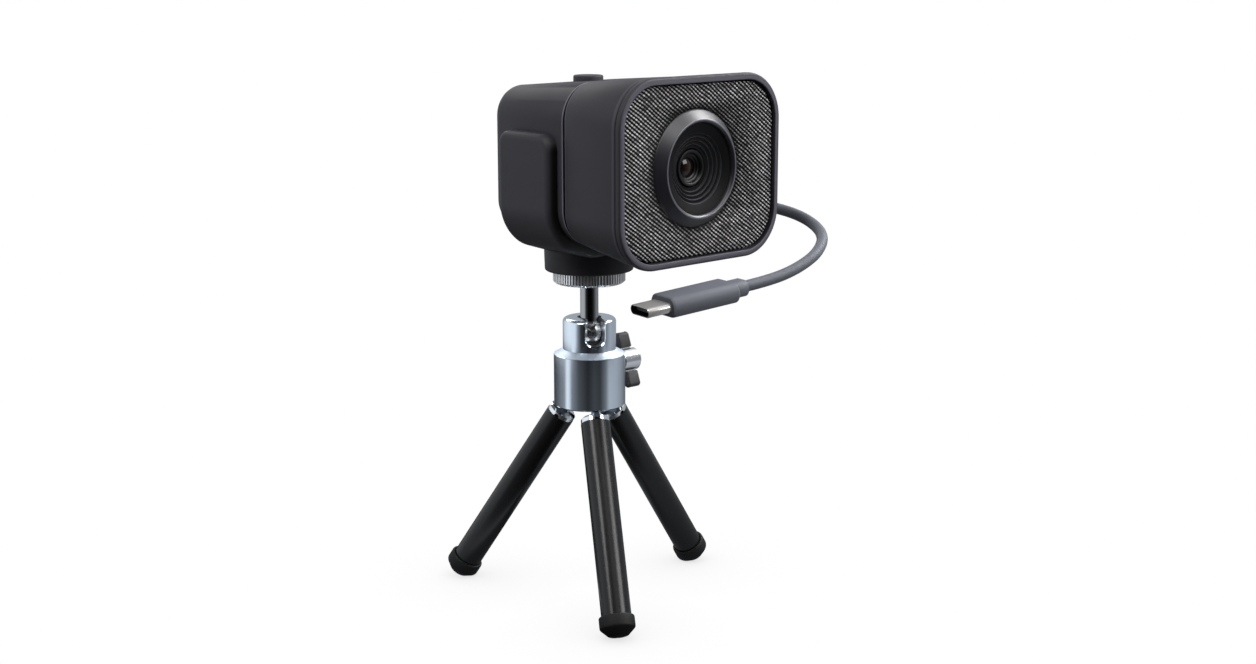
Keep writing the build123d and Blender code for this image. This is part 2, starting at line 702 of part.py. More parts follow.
def cable_gland():
    inward = Plane(origin=exit_point, z_dir=(-1, 0, 0))
    gland = extrude(inward * Circle(GLAND_D / 2), amount=GLAND_L)
    return gland + extrude(inward.offset(GLAND_L - 1.4) * Circle(GLAND_FLANGE_D / 2), amount=1.4)


def cable():
    runs = [b - a for a, b in zip(cord_points, cord_points[1:])]
    radii = []
    for before, after in zip(runs, runs[1:]):
        half_turn = radians(before.get_angle(after)) / 2
        radii.append(0.45 * min(before.length, after.length) / tan(half_turn))
    print("cord radii", [round(r, 1) for r in radii])
    path = FilletPolyline(*cord_points, radius=radii)
    start = Plane(origin=exit_point, z_dir=runs[0])
    tube = sweep(start * Circle(CORD_D / 2), path=path)
    section = 3.14159 * CORD_D ** 2 / 4
    print("cord length", round(path.length, 2), "volume/section", round(tube.volume / section, 2))
    return tube


def along_plug(start, length, size, radius):
    plane = Plane(
        origin=(cord_end + plug_way * start), x_dir=plug_across, z_dir=plug_way)
    return extrude(plane * RectangleRounded(*size, radius), amount=length)


def plug_sleeve():
    return along_plug(0, SLEEVE_L, SLEEVE_SIZE, SLEEVE_SIZE[1] / 2 - 0.05)


def plug_body():
    body = along_plug(SLEEVE_L, PLUG_L, PLUG_SIZE, PLUG_SIZE[1] / 2 - 0.05)
    ends = [e for f in body.faces().sort_by(Axis(cord_end, plug_way))[:1] for e in f.edges()]
    return fillet(ends, PLUG_ROUND)


def plug_shell():
    start = SLEEVE_L + PLUG_L
    shell = along_plug(start, SHELL_L, SHELL_SIZE, SHELL_SIZE[1] / 2 - 0.02)
    bore = [side - 2 * SHELL_WALL for side in SHELL_SIZE]
    return shell - along_plug(start + 0.8, SHELL_L, bore, bore[1] / 2 - 0.02)


def plug_tongue():
    return along_plug(SLEEVE_L + PLUG_L + 0.8, TONGUE_REACH - 0.8, TONGUE_SIZE, TONGUE_SIZE[1] / 2 - 0.02)


# All pieces
nodes = {}
for name, azimuth in LEG_AZIMUTHS.items():
    place = leg_place(azimuth)
    nodes["leg_fork_" + name] = place * leg_fork()
    nodes["leg_tube_" + name] = place * leg_tube()
    nodes["leg_foot_" + name] = floor_cut(place * leg_foot())
    nodes["leg_pin_" + name] = place * leg_pin()
makers = [
    head_body, leg_plate, plate_screws, ball_seat, ball_stem, lock_disc, clamp_screw, clamp_grips,
    yoke, thread_collar, thread_insert, collar_screws,
    front_bezel, fabric_cover, grille_plate, front_shell, rear_shell, main_board, heat_spreader, main_screws,
    lens_housing, lens_baffle, lens_barrel, front_lens, inner_lens, lens_holder, image_sensor,
    sensor_board, sensor_screws, microphones,
    button_cap, tact_switch, switch_board, switch_screws,
    cable_gland, cable, plug_sleeve, plug_body, plug_shell, plug_tongue]
for maker in makers:
    nodes[maker.__name__] = maker()

# Origin under the middle of everything but the lead
lead = ["cable_gland", "cable", "plug_sleeve", "plug_body", "plug_shell", "plug_tongue"]
boxes = [solid.bounding_box() for name, solid in nodes.items() if name not in lead]
mid_x = (min(b.min.X for b in boxes) + max(b.max.X for b in boxes)) / 2
mid_y = (min(b.min.Y for b in boxes) + max(b.max.Y for b in boxes)) / 2
os.makedirs("parts", exist_ok=True)
for name, solid in nodes.items():
    export_step(Pos(-mid_x, -mid_y, 0) * solid, "parts/" + name + ".step")

# Places that joints and mounts use, in the moved frame
print("axis", round(-mid_x, 4), round(-mid_y, 4))
for name, azimuth in LEG_AZIMUTHS.items():
    at = outward(azimuth) * PIVOT_R
    print("pivot", name, round(at.X - mid_x, 4), round(at.Y - mid_y, 4), round(pivot_z, 4), around(azimuth))
print("heights", [round(v, 3) for v in (head_z, ball_z, clamp_z, disc_z, collar_z, yoke_z, cam_z, button_z)])
print("exit", exit_point, "plug way", plug_way)
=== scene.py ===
import json
import math
from functools import partialmethod

import bpy
from bpy.props import FloatProperty, FloatVectorProperty, IntProperty, PointerProperty
from mathutils import Matrix, Vector


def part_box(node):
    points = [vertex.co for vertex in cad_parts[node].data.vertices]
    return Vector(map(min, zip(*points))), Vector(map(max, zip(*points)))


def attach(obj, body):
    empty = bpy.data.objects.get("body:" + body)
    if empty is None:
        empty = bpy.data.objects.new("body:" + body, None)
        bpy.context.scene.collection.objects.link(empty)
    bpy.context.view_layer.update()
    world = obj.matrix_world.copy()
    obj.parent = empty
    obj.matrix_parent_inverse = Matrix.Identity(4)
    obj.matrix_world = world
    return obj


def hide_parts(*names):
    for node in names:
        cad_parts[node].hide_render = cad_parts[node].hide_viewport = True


bl_info = {
    "name": "Webcam on a mini tripod",
    "version": (1, 0, 0),
    "blender": (4, 5, 0),
    "location": "3D View > Sidebar > Webcam",
    "description": "Dresses the packed webcam and its tripod with finished pieces and materials",
    "category": "Object",
}

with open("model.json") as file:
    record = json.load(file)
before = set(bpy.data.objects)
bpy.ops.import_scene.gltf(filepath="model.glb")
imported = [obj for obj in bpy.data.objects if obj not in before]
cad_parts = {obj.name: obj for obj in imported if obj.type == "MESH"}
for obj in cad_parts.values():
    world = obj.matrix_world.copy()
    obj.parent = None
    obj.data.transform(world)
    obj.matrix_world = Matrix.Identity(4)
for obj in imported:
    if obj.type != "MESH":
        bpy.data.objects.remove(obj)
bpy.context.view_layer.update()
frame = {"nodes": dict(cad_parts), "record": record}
MM = 0.001


def middle(node):
    """Centre of a CAD node's box."""
    low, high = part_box(node)
    return (Vector(low) + Vector(high)) / 2


def joint(name):
    """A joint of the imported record, by name."""
    return next(j for j in frame["record"]["behaviour"]["joints"] if j["name"] == name)


RIGHT = Vector((1, 0, 0))
BACK = Vector((0, 1, 0))
UP = Vector((0, 0, 1))
AXIS = Vector((middle("head_body").x, middle("head_body").y, 0))
HEAD_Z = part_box("head_body")[0][2]
LENS = middle("lens_housing")
RIM_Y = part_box("front_bezel")[0][1]
LENS_FRONT = Vector((LENS.x, RIM_Y, LENS.z))
EXIT = Vector((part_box("cable_gland")[1][0], middle("cable_gland").y, middle("cable_gland").z))
LEGS = ("front", "right", "left")

# Sizes that several places share, in millimetres.
RING = 14.9  # radius of the lens ring
RIDGE = 0.97  # distance between the ridges of the lens funnel
SEAM, REAR_LIFT = 23.35, 1.0  # the rear half starts this deep behind the rim and this much higher
DISC, DISC_TOP, DISC_BOTTOM = 9.85, 0.2, 0.6  # radius of the lock disc, heights of its bevels
BALL = 4.0  # radius of the ball

LEVEL = 0.00001  # points that differ by less, in metres, count as level
MERGE = 0.000002  # points that lie nearer, in metres, become one


class ViewSettings(bpy.types.PropertyGroup):
    """Where the picture is taken from and how it is lit."""

    place: FloatVectorProperty(
        name="Place", description="Camera's place from the tripod's foot point", subtype="XYZ",
        unit="LENGTH", default=(-0.32676, -0.35391, 0.17387))
    azimuth: FloatProperty(
        name="Azimuth", description="Turn of the view to the right of straight ahead",
        subtype="ANGLE", default=math.radians(44.0))
    pitch: FloatProperty(
        name="Pitch", description="How far the view looks down", subtype="ANGLE",
        default=math.radians(11.75))
    focal: FloatProperty(
        name="Focal length", description="For a 36 mm wide sensor", subtype="DISTANCE_CAMERA",
        default=51.667)
    ambient: FloatProperty(
        name="Ambient", description="Light from all round", default=0.07, min=0.0)


def colour_setting(name, description, default):
    return FloatVectorProperty(
        name=name, description=description, subtype="COLOR", default=default)


class FinishSettings(bpy.types.PropertyGroup):
    """Colours of the finishes."""

    shell: colour_setting("Shell", "Moulded charcoal plastic", (0.0315, 0.0300, 0.0375))
    yarn: colour_setting("Yarn", "Light yarn of the cover", (0.62, 0.61, 0.635))
    steel: colour_setting("Steel", "Turned and polished steel", (0.735, 0.82, 0.915))
    leg: colour_setting("Leg paint", "Black paint of the legs", (0.006, 0.006, 0.0065))
    lead: colour_setting("Lead", "Grey jacket of the lead and plug", (0.150, 0.158, 0.188))


class SizeSettings(bpy.types.PropertyGroup):
    """Sizes of the detail that the pieces carry."""

    yarn_pitch: FloatProperty(
        name="Yarn pitch", description="Distance between yarns of the cover", unit="LENGTH",
        default=0.00075)
    cord_width: FloatProperty(
        name="Lead width", description="Diameter of the lead", unit="LENGTH", default=0.003)
    disc_ribs: IntProperty(
        name="Disc ribs", description="Ribs round the lock disc", default=72, min=12)


def settings():
    return bpy.context.scene.webcam_finish


def sizes():
    return bpy.context.scene.webcam_sizes


class Value:
    """A number that varies over a surface. Arithmetic on it adds Math nodes."""

    def __init__(self, finish, socket):
        self.finish = finish
        self.socket = socket

    def _math(self, operation, *others):
        return self.finish.node(
            "ShaderNodeMath", {"operation": operation}, dict(enumerate((self, *others))))

    __add__ = __radd__ = partialmethod(_math, "ADD")
    __sub__ = partialmethod(_math, "SUBTRACT")
    __mul__ = __rmul__ = partialmethod(_math, "MULTIPLY")
    __truediv__ = partialmethod(_math, "DIVIDE")
    __pow__ = partialmethod(_math, "POWER")
    absolute = partialmethod(_math, "ABSOLUTE")
    least = partialmethod(_math, "MINIMUM")
    most = partialmethod(_math, "MAXIMUM")
    above = partialmethod(_math, "GREATER_THAN")
    floored = partialmethod(_math, "FLOOR")
    part = partialmethod(_math, "FRACT")

    def __rsub__(self, other):
        return self.finish.node("ShaderNodeMath", {"operation": "SUBTRACT"}, {0: other, 1: self})

    def clamped(self):
        return self.most(0.0).least(1.0)


def distance(first, second):
    """Distance from an axis, by two coordinates measured from it."""
    return (first * first + second * second) ** 0.5


def along(way, x, y, z):
    """How far a point lies along a direction."""
    return x * way.x + y * way.y + z * way.z


def between(value, low, high):
    """One between two limits, nothing beyond them."""
    return value.above(low) * (1 - value.above(high))


def band(value, centre, half):
    """One at a centre, falling to nothing at half a width on both sides."""
    return (1 - ((value - centre) / half).absolute()).most(0.0)


class Nodes:
    """A node tree, built up node by node."""

    def __init__(self, owner):
        owner.use_nodes = True
        self.tree = owner.node_tree
        self.coordinates = None

    def node(self, kind, options=None, inputs=None, output=0):
        """Adds a node with its settings and the values or links of its sockets."""
        made = self.tree.nodes.new(kind)
        for key, value in (options or {}).items():
            if key == "stops":
                ramp = made.color_ramp
                while len(ramp.elements) < len(value):
                    ramp.elements.new(0.5)
                for element, (place, colour) in zip(ramp.elements, value):
                    element.position = place
                    element.color = (*colour, 1.0)
            else:
                setattr(made, key, value)
        for key, value in (inputs or {}).items():
            self.feed(made.inputs[key], value)
        return Value(self, made.outputs[output])

    def feed(self, socket, value):
        """Links a value to a socket, or sets the socket to a constant."""
        if isinstance(value, Value):
            self.tree.links.new(value.socket, socket)
        else:
            socket.default_value = value

    def place(self, scale=(1.0, 1.0, 1.0), turn=(0.0, 0.0, 0.0), shift=(0.0, 0.0, 0.0)):
        """Object coordinates, scaled, turned and shifted."""
        if self.coordinates is None:
            self.coordinates = self.node("ShaderNodeTexCoord", output="Object")
        return self.node("ShaderNodeMapping", None, {
            "Vector": self.coordinates, "Scale": scale, "Rotation": turn, "Location": shift})

    def split(self, vector):
        apart = self.node("ShaderNodeSeparateXYZ", None, {0: vector}).socket.node
        return [Value(self, out) for out in apart.outputs]

    def noise(self, scale, detail=2.0, vector=None):
        return self.node("ShaderNodeTexNoise", None, {
            "Vector": vector or self.place(), "Scale": scale, "Detail": detail}, "Fac")

    def blend(self, share, first, second):
        """Mixes two colours by a share of the second."""
        first, second = [c if isinstance(c, Value) else (*c, 1.0) for c in (first, second)]
        return self.node("ShaderNodeMix", {"data_type": "RGBA"}, {
            "Factor": share, 6: first, 7: second}, 2)

    def bump(self, height, depth):
        return self.node("ShaderNodeBump", None, {"Height": height, "Distance": depth})

    def ray(self, kind):
        return self.node("ShaderNodeLightPath", output="Is %s Ray" % kind)


FINISHES = {}


class Finish(Nodes):
    """A procedural material, kept by its name."""

    INPUTS = {"colour": "Base Color", "rough": "Roughness", "metal": "Metallic",
              "normal": "Normal", "gloss": "Specular IOR Level", "bend": "IOR"}

    def __init__(self, name):
        self.material = FINISHES[name] = bpy.data.materials.new(name)
        super().__init__(self.material)
        self.shader = self.tree.nodes["Principled BSDF"]

    def set(self, **values):
        """Feeds the shader's inputs, by their short names."""
        for key, value in values.items():
            self.feed(self.shader.inputs[self.INPUTS[key]], value)

    def from_lens(self):
        """Distance from the lens's axis."""
        x, y, z = self.split(self.place(shift=(-LENS.x, 0.0, -LENS.z)))
        return distance(x, z)

    def from_axis(self):
        """Coordinates measured from the tripod's axis."""
        return self.split(self.place(shift=tuple(-AXIS)))


SHELL_GRAIN = {"rough": 0.55, "grain": 0.00042, "depth": 0.000018, "gloss": 0.35}


def tone(colour, factor):
    """A colour made lighter or darker."""
    return tuple(min(1.0, c * factor) for c in colour)


def moulded(name, colour, rough=0.5, grain=0.00045, depth=0.00002, gloss=0.5, vary=0.14):
    """Moulded plastic with a fine spark-eroded grain and slightly uneven gloss."""
    f = Finish(name)
    cloudy = f.noise(90.0, 3.0)
    fine = f.noise(1.0 / grain, 2.0)
    uneven = cloudy * 0.7 + fine * 0.3
    f.set(colour=f.blend(uneven, tone(colour, 1 - vary), tone(colour, 1 + vary)),
          rough=rough + (cloudy - 0.5) * 0.12 + (fine - 0.5) * 0.10, gloss=gloss)
    if depth:
        f.set(normal=f.bump(fine, depth))
    return f.material


def repaint(material, colour, mask):
    """Lays a second colour over a finish where mask(x, y, z) is one."""
    f = Nodes(material)
    socket = f.tree.nodes["Principled BSDF"].inputs["Base Color"]
    plain = Value(f, socket.links[0].from_socket)
    f.feed(socket, f.blend(mask(*f.split(f.place())), plain, colour))
    return material


def glossed(name, colour):
    """Smooth moulded ring with a satin lacquer and a painted highlight along its front lip."""
    crest, half, lip_back = 12.28 * MM, 0.26 * MM, RIM_Y - 1.2 * MM

    def lip(x, y, z):
        return band(distance(x - LENS.x, z - LENS.z), crest, half) * (1 - y.above(lip_back))

    plain = moulded(name, colour, rough=0.38, grain=0.0005, depth=0.0, gloss=0.85, vary=0.05)
    # Painted highlight: a lighter colour along the front lip.
    material = repaint(plain, (0.15, 0.155, 0.185), lip)
    shader = material.node_tree.nodes["Principled BSDF"]
    shader.inputs["Coat Weight"].default_value = 0.3
    shader.inputs["Coat Roughness"].default_value = 0.4


def shell_highlight_and_shade(name, colour):
    """Shell plastic with painted highlights on the lips by the seam and rim, painted shade in
    grooves.
    """
    # Lips painted with highlight by depth behind the rim, half width and strength; then grooves
    # painted with shade.
    lips = ((24.02, 0.28, 1.0), (22.75, 0.35, 0.32), (2.7, 0.7, 0.2), (0.04, 0.18, 0.5))
    grooves = ((22.98, 23.80), (1.66, 2.10))

    def painted_highlight(x, y, z):
        return sum(band(y, RIM_Y + depth * MM, half * MM) * level
                   for depth, half, level in lips).least(1.0)

    def dark(x, y, z):
        return sum(between(y, RIM_Y + near * MM, RIM_Y + far * MM) for near, far in grooves)

    # Painted highlights on the lips, then painted shade, near-black, in the grooves.
    material = repaint(moulded(name, colour, **SHELL_GRAIN), tone(colour, 7.5), painted_highlight)
    repaint(material, (0.002, 0.002, 0.002), dark)


def cradle(name, colour):
    """The shell's plastic, with black painted shade on the arms' face against the body's step."""
    edge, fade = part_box("yoke")[0][1] + 0.6 * MM, 0.5 * MM

    def painted_arm_shade(x, y, z):
        return ((edge - y) / fade).clamped()

    # Painted shade: the arms' front face is near-black where shade falls between arm and body.
    repaint(moulded(name, colour, **SHELL_GRAIN), (0.003, 0.003, 0.003), painted_arm_shade)


def woven_cover(name, yarn, pitch):
    """Plain weave of a light yarn over a dark one, so that light and dark crowns change places."""
    lean, closer, wander, shadow = math.radians(3.0), 1.32, 1.1, 2.2 * MM

    def rounded(flat, steep):
        return (1 - flat * flat * 0.6 - steep * steep * 2.6).most(0.0)

    f = Finish(name)
    x, y, z = f.split(f.place(
        turn=(0.0, lean, 0.0), scale=(1 / pitch, 1 / pitch, closer / pitch)))
    across = x + f.noise(170.0, 2.0) * wander
    upward = z + f.noise(150.0, 2.0) * wander
    over = ((across.floored() + upward.floored()) * 0.5).part().above(0.25)
    here, there = across.part() - 0.5, upward.part() - 0.5
    slant, width = here - there, here + there
    crown, sunk = rounded(slant, width), rounded(width, slant)
    height = over * crown + (1 - over) * sunk * 0.6
    cell = f.node("ShaderNodeCombineXYZ", None, {0: across.floored(), 1: upward.floored(), 2: 0.0})
    chance = f.node("ShaderNodeTexWhiteNoise", {"noise_dimensions": "2D"}, {"Vector": cell})
    streaks = f.noise(1.0, 2.0, f.place(scale=(420.0, 420.0, 1250.0)))
    slub = ((streaks - 0.5) * 2.6 + 0.5).clamped()
    lit = f.blend(chance * 0.55 + slub * 0.45, tone(yarn, 0.15), tone(yarn, 1.6))
    light = (over * (crown - 0.38) * 4.0).clamped()
    # Painted shadow: the cover darkens towards the foot of the lens ring.
    clear = ((f.from_lens() - RING * MM) / shadow + 0.1).most(0.1).least(1.0)
    f.set(colour=f.blend(light * clear, (0.003, 0.003, 0.003), lit), rough=0.85, gloss=0.2,
          normal=f.bump(height, 0.00012))


def polished(name, colour, rough, lines=0.05, depth=0.0000025, satin=None, bore=None, metal=1.0):
    """Turned metal with fine tool lines round its axis and faint smears.

    It is dull between the heights of satin, and rougher within the radius and below the
    height of bore, where painted shade also darkens it."""
    f = Finish(name)
    rings = f.noise(1.0, 3.0, f.place(scale=(60.0, 60.0, 9000.0)))
    smear = f.noise(120.0, 3.0)
    dull = rough
    if satin:
        x, y, z = f.split(f.place())
        dull = rough + between(z, *satin) * (0.5 - rough)
    shade = f.blend(smear, tone(colour, 0.93), tone(colour, 1.05))
    if bore:
        x, y, z = f.from_axis()
        inside = (1 - distance(x, y).above(bore[0])) * (1 - z.above(bore[1]))
        # Painted shade: darker steel inside the bore.
        shade = f.blend(inside, shade, (0.55, 0.56, 0.58))
        dull = dull + inside * 0.25
    f.set(colour=shade, metal=metal, normal=f.bump(rings, depth),
          rough=dull + (rings - 0.5) * lines * 2 + (smear - 0.5) * 0.05)


def darker_above_neck(name, colour, neck):
    """Polished ball below the neck, the same steel darker above it."""
    f = Finish(name)
    x, y, z = f.split(f.place())
    smear = f.noise(160.0, 3.0)
    above = z.above(neck)
    f.set(colour=f.blend(above, colour, tone(colour, 0.42)), metal=above * 0.1 + 0.9,
          rough=0.06 + above * 0.04 + (smear - 0.5) * 0.05)


def ribbed(name, colour):
    """Bright metal with painted shade, near-black, on the floors of its grooves."""
    groove, fade = 9.70 * MM, 0.05 * MM
    f = Finish(name)
    x, y, z = f.from_axis()
    low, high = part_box("lock_disc")
    plain = 1 - between(z, low[2] + DISC_BOTTOM * MM, high[2] - DISC_TOP * MM)
    proud = ((distance(x, y) - groove) / fade).most(plain).least(1.0)
    smear = f.noise(200.0, 3.0)
    metal = f.blend(smear, tone(colour, 0.9), colour)
    # Painted shade: the groove floors are near-black.
    f.set(colour=f.blend(proud, (0.02, 0.02, 0.022), metal),
          metal=proud * 0.68, rough=0.15 + (smear - 0.5) * 0.1)


def painted(name, colour):
    """Satin paint on tube, with an orange-peel surface and a few dust specks."""
    f = Finish(name)
    peel = f.noise(700.0, 2.0)
    dust = (f.noise(2400.0, 1.0) - 0.72).most(0.0) * 6.0
    f.set(colour=f.blend(dust.least(1.0), colour, tone(colour, 6.0)), gloss=0.36,
          rough=0.25 + (peel - 0.5) * 0.08 + dust * 0.3, normal=f.bump(peel, 0.0000015))


def rubbery(name, colour, rough=0.62, gloss=0.4):
    """Moulded rubber with a dull grain."""
    f = Finish(name)
    grain = f.noise(1800.0, 3.0)
    f.set(colour=f.blend(grain, tone(colour, 0.8), tone(colour, 1.3)),
          rough=rough + (grain - 0.5) * 0.2, normal=f.bump(grain, 0.00003), gloss=gloss)


def ridged(name, colour):
    """Matt black funnel with painted highlights along the edges of its ridges."""
    f = Finish(name)
    away = f.from_lens()
    step = ((8.95 * MM - away) / (RIDGE * MM)).part()
    edge = (1 - step * 3.6).most(0.0) * between(away, 5.3 * MM, 9.0 * MM)
    fine = f.noise(1600.0, 2.0)
    # Painted highlight: a lighter colour along each ridge's edge.
    f.set(colour=f.blend(edge, colour, tone(colour, 22.0)), rough=0.5 + (fine - 0.5) * 0.1,
          gloss=0.12)


def dark_glass(name, tint):
    """Coated lens glass over a black inside, with a painted warm reflection towards the middle."""
    f = Finish(name)
    away = f.from_lens() / (3.9 * MM)
    # Painted reflection: a warm tint towards the middle.
    stops = [(0.0, (0.03, 0.010, 0.007)), (0.28, tint), (0.45, (0.012, 0.006, 0.006)),
             (1.0, (0.004, 0.004, 0.006))]
    f.set(colour=f.node("ShaderNodeValToRGB", {"stops": stops}, {"Fac": away.least(1.0)}),
          rough=0.06, gloss=0.4, bend=1.5)


def circuit(name):
    """Green lacquered board with a faint track pattern."""
    f = Finish(name)
    tracks = f.noise(500.0, 0.0).above(0.55)
    f.set(colour=f.blend(tracks, (0.015, 0.07, 0.03), (0.03, 0.12, 0.05)),
          rough=0.35 + tracks * 0.1)


def make_finishes():
    """Makes every finish once."""
    s = settings()
    shell, black, bright = tuple(s.shell), (0.006, 0.006, 0.0068), (0.84, 0.86, 0.89)
    moulded("shell_plastic", shell, **SHELL_GRAIN)
    shell_highlight_and_shade("shell_edges", shell)
    glossed("lens_ring", (0.0145, 0.0145, 0.0230))
    moulded("lens_black", black, rough=0.36, grain=0.0006, depth=0.000001, gloss=0.4)
    ridged("lens_funnel", black)
    cradle("cradle", shell)
    woven_cover("fabric", tuple(s.yarn), sizes().yarn_pitch)
    dark_glass("glass", (0.018, 0.006, 0.005))
    circuit("board")
    polished("spreader_aluminium", (0.75, 0.75, 0.77), 0.4)
    polished("mic_metal", (0.7, 0.65, 0.5), 0.35)
    polished("screw_steel", (0.6, 0.6, 0.62), 0.3)
    polished("head_steel", tuple(s.steel), 0.13, satin=(HEAD_Z + 14.35 * MM, HEAD_Z + 15.7 * MM),
             bore=(6.15 * MM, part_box("head_body")[1][2] - 1.03 * MM))
    darker_above_neck("post_steel", bright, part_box("ball_stem")[0][2] + 7.6 * MM)
    polished("bright_steel", bright, 0.10, lines=0.02, depth=0.000001)
    ribbed("ribbed_steel", (0.95, 0.96, 0.98))
    polished("seat_steel", (0.30, 0.30, 0.31), 0.4)
    polished("thread_brass", (0.75, 0.55, 0.24), 0.3)
    painted("leg_black", tuple(s.leg))
    rubbery("foot_rubber", (0.004, 0.004, 0.0045), gloss=0.3)
    rubbery("grip_black", (0.042, 0.041, 0.044), rough=0.5)
    moulded("lead_grey", tuple(s.lead), rough=0.55, grain=0.0020, depth=0.0, gloss=0.35, vary=0.05)
    polished("plug_steel", (0.66, 0.64, 0.63), 0.2, metal=0.5)
    moulded("tongue_black", (0.01, 0.01, 0.011))


def object_mode():
    if bpy.context.mode != "OBJECT":
        bpy.ops.object.mode_set(mode="OBJECT")


def deselect():
    """Leaves edit mode with nothing selected."""
    object_mode()
    bpy.ops.object.select_all(action="DESELECT")


def select_only(piece):
    """Leaves edit mode with one piece selected and active."""
    deselect()
    bpy.context.view_layer.objects.active = piece
    piece.select_set(True)


def select_all():
    bpy.ops.mesh.select_all(action="SELECT")


def edit_all():
    """Enters edit mode with every vertex of the active piece selected."""
    bpy.ops.object.mode_set(mode="EDIT")
    bpy.ops.mesh.select_mode(type="VERT")
    select_all()


def face_out():
    """Turns all faces of the piece in edit mode outwards."""
    select_all()
    bpy.ops.mesh.normals_make_consistent(inside=False)


def finish_piece(piece, name, body, slot, *nodes, finish=None):
    """Names a piece, gives it its finish and hangs it on its body in place of CAD nodes."""
    deselect()
    piece.name = name
    piece.data.materials.clear()
    piece.data.materials.append(FINISHES[finish or slot])
    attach(piece, body)
    if nodes:
        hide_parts(*nodes)


def settle(piece, angle=35.0):
    """Leaves edit mode, puts the piece's place into its mesh and smooths its shading."""
    select_only(piece)
    bpy.ops.object.transform_apply(location=True, rotation=True, scale=True)
    bpy.ops.object.shade_smooth_by_angle(angle=math.radians(angle))
    return piece


def modify(piece, kind, **options):
    """Adds one modifier and applies it."""
    select_only(piece)
    made = piece.modifiers.new(kind.lower(), kind)
    for key, value in options.items():
        setattr(made, key, value)
    bpy.ops.object.modifier_apply(modifier=made.name)


def cut(piece, cutter):
    """Takes a cutter's shape out of a piece, and the cutter away."""
    modify(piece, "BOOLEAN", object=cutter, operation="DIFFERENCE", solver="EXACT")
    bpy.data.objects.remove(cutter)


def stand(piece, origin, right, up):
    """Turns a piece grown along +Z so that its X is right and its Y is up, at its place."""
    object_mode()
    piece.matrix_world = Matrix((right, up, right.cross(up))).transposed().to_4x4()
    piece.location = origin
    return settle(piece)


def extrude(step):
    """Carries what is selected on by a step."""
    bpy.ops.mesh.extrude_region_move(TRANSFORM_OT_translate={"value": step})


def trace(points):
    """Starts a piece as a line through points, all selected, in edit mode."""
    deselect()
    bpy.ops.mesh.primitive_plane_add(size=MM)
    piece = bpy.context.object
    edit_all()
    bpy.ops.mesh.merge(type="CENTER")
    bpy.ops.transform.translate(value=points[0])
    for here, there in zip(points, points[1:]):
        extrude(there - here)
    select_all()
    return piece


def turned(profile, origin, axis=UP, side=RIGHT, steps=128):
    """Spins a profile of (radius, distance) points, in millimetres, about an axis."""
    piece = trace([origin + (side * r + axis * h) * MM for r, h in profile])
    bpy.ops.mesh.spin(steps=steps, angle=math.tau, center=origin, axis=axis)
    select_all()
    bpy.ops.mesh.remove_doubles(threshold=MERGE)
    face_out()
    return settle(piece)


def rod(radius, start, end, origin, axis=UP, side=RIGHT, steps=128):
    """Round cutter along an axis, in millimetres."""
    profile = [(0, start), (radius, start), (radius, end), (0, end)]
    return turned(profile, origin, axis, side, steps)


def plate(width, height, radius, segments):
    """Starts a piece as a flat rounded plate at the origin, its free face up, in edit mode."""
    deselect()
    bpy.ops.mesh.primitive_plane_add(size=1.0)
    piece = bpy.context.object
    edit_all()
    bpy.ops.transform.resize(value=(width * MM, height * MM, 1.0))
    bpy.ops.mesh.bevel(offset=radius * MM, segments=segments, affect="VERTICES")
    select_all()
    return piece


def grow(*steps):
    """Carries the free face on by steps of (inset, advance), in millimetres, and a lift if any.

    A negative inset widens the face."""
    for inset, advance, *lift in steps:
        if inset > 0:
            bpy.ops.mesh.inset(thickness=inset * MM, depth=advance * MM)
        else:
            extrude((0, 0, advance * MM))
        if inset < 0:
            wide, tall = face_size()
            gain = -2 * inset * MM
            bpy.ops.transform.resize(value=(1 + gain / wide, 1 + gain / tall, 1.0))
        if lift:
            bpy.ops.transform.translate(value=(0, lift[0] * MM, 0))


def face_size():
    """Width and height of what is selected on the piece in edit mode."""
    piece = bpy.context.object
    piece.update_from_editmode()
    picked = [v.co for v in piece.data.vertices if v.select]
    return [max(c[i] for c in picked) - min(c[i] for c in picked) for i in (0, 1)]


def quarter(radius, count):
    """Steps for grow() that round an edge over to its face."""
    turns = [math.pi / 2 * i / count for i in range(count + 1)]
    return [(radius * (math.cos(a) - math.cos(b)), radius * (math.sin(b) - math.sin(a)))
            for a, b in zip(turns, turns[1:])]


def close_ends():
    """Fills the open rims of the piece in edit mode."""
    bpy.ops.mesh.select_all(action="DESELECT")
    bpy.ops.mesh.select_mode(type="EDGE")
    bpy.ops.mesh.select_non_manifold()
    bpy.ops.mesh.edge_face_add()
    face_out()
    bpy.ops.mesh.select_mode(type="VERT")


def pick(piece, kind, test):
    """Selects the vertices, edges or faces that pass a test, in edit mode."""
    object_mode()
    for parts in (piece.data.vertices, piece.data.edges, piece.data.polygons):
        for part in parts:
            part.select = False
    for part in getattr(piece.data, kind):
        part.select = test(part)
    bpy.ops.object.mode_set(mode="EDIT")
    bpy.ops.mesh.select_mode(type={"vertices": "VERT", "edges": "EDGE", "polygons": "FACE"}[kind])


def hollow():
    """Takes the end faces out of the piece in edit mode and joins their rims to a ring."""
    pick(bpy.context.object, "polygons", lambda face: len(face.vertices) > 8)
    bpy.ops.mesh.delete(type="ONLY_FACE")
    bpy.ops.mesh.select_mode(type="EDGE")
    bpy.ops.mesh.select_non_manifold()
    bpy.ops.mesh.bridge_edge_loops()
    face_out()
    bpy.ops.mesh.select_mode(type="VERT")


def grown(outline, steps, origin, right, up, end=close_ends):
    """Grows a piece from a rounded plate, ends it and stands it in its place."""
    piece = plate(*outline)
    grow(*steps)
    end()
    return stand(piece, origin, right, up)


def behind_rim(depth, lift=0.0):
    """Point on the face's centre line, a depth behind the rim."""
    centre = middle("front_bezel")
    return Vector((centre.x, RIM_Y + depth * MM, centre.z + lift * MM))


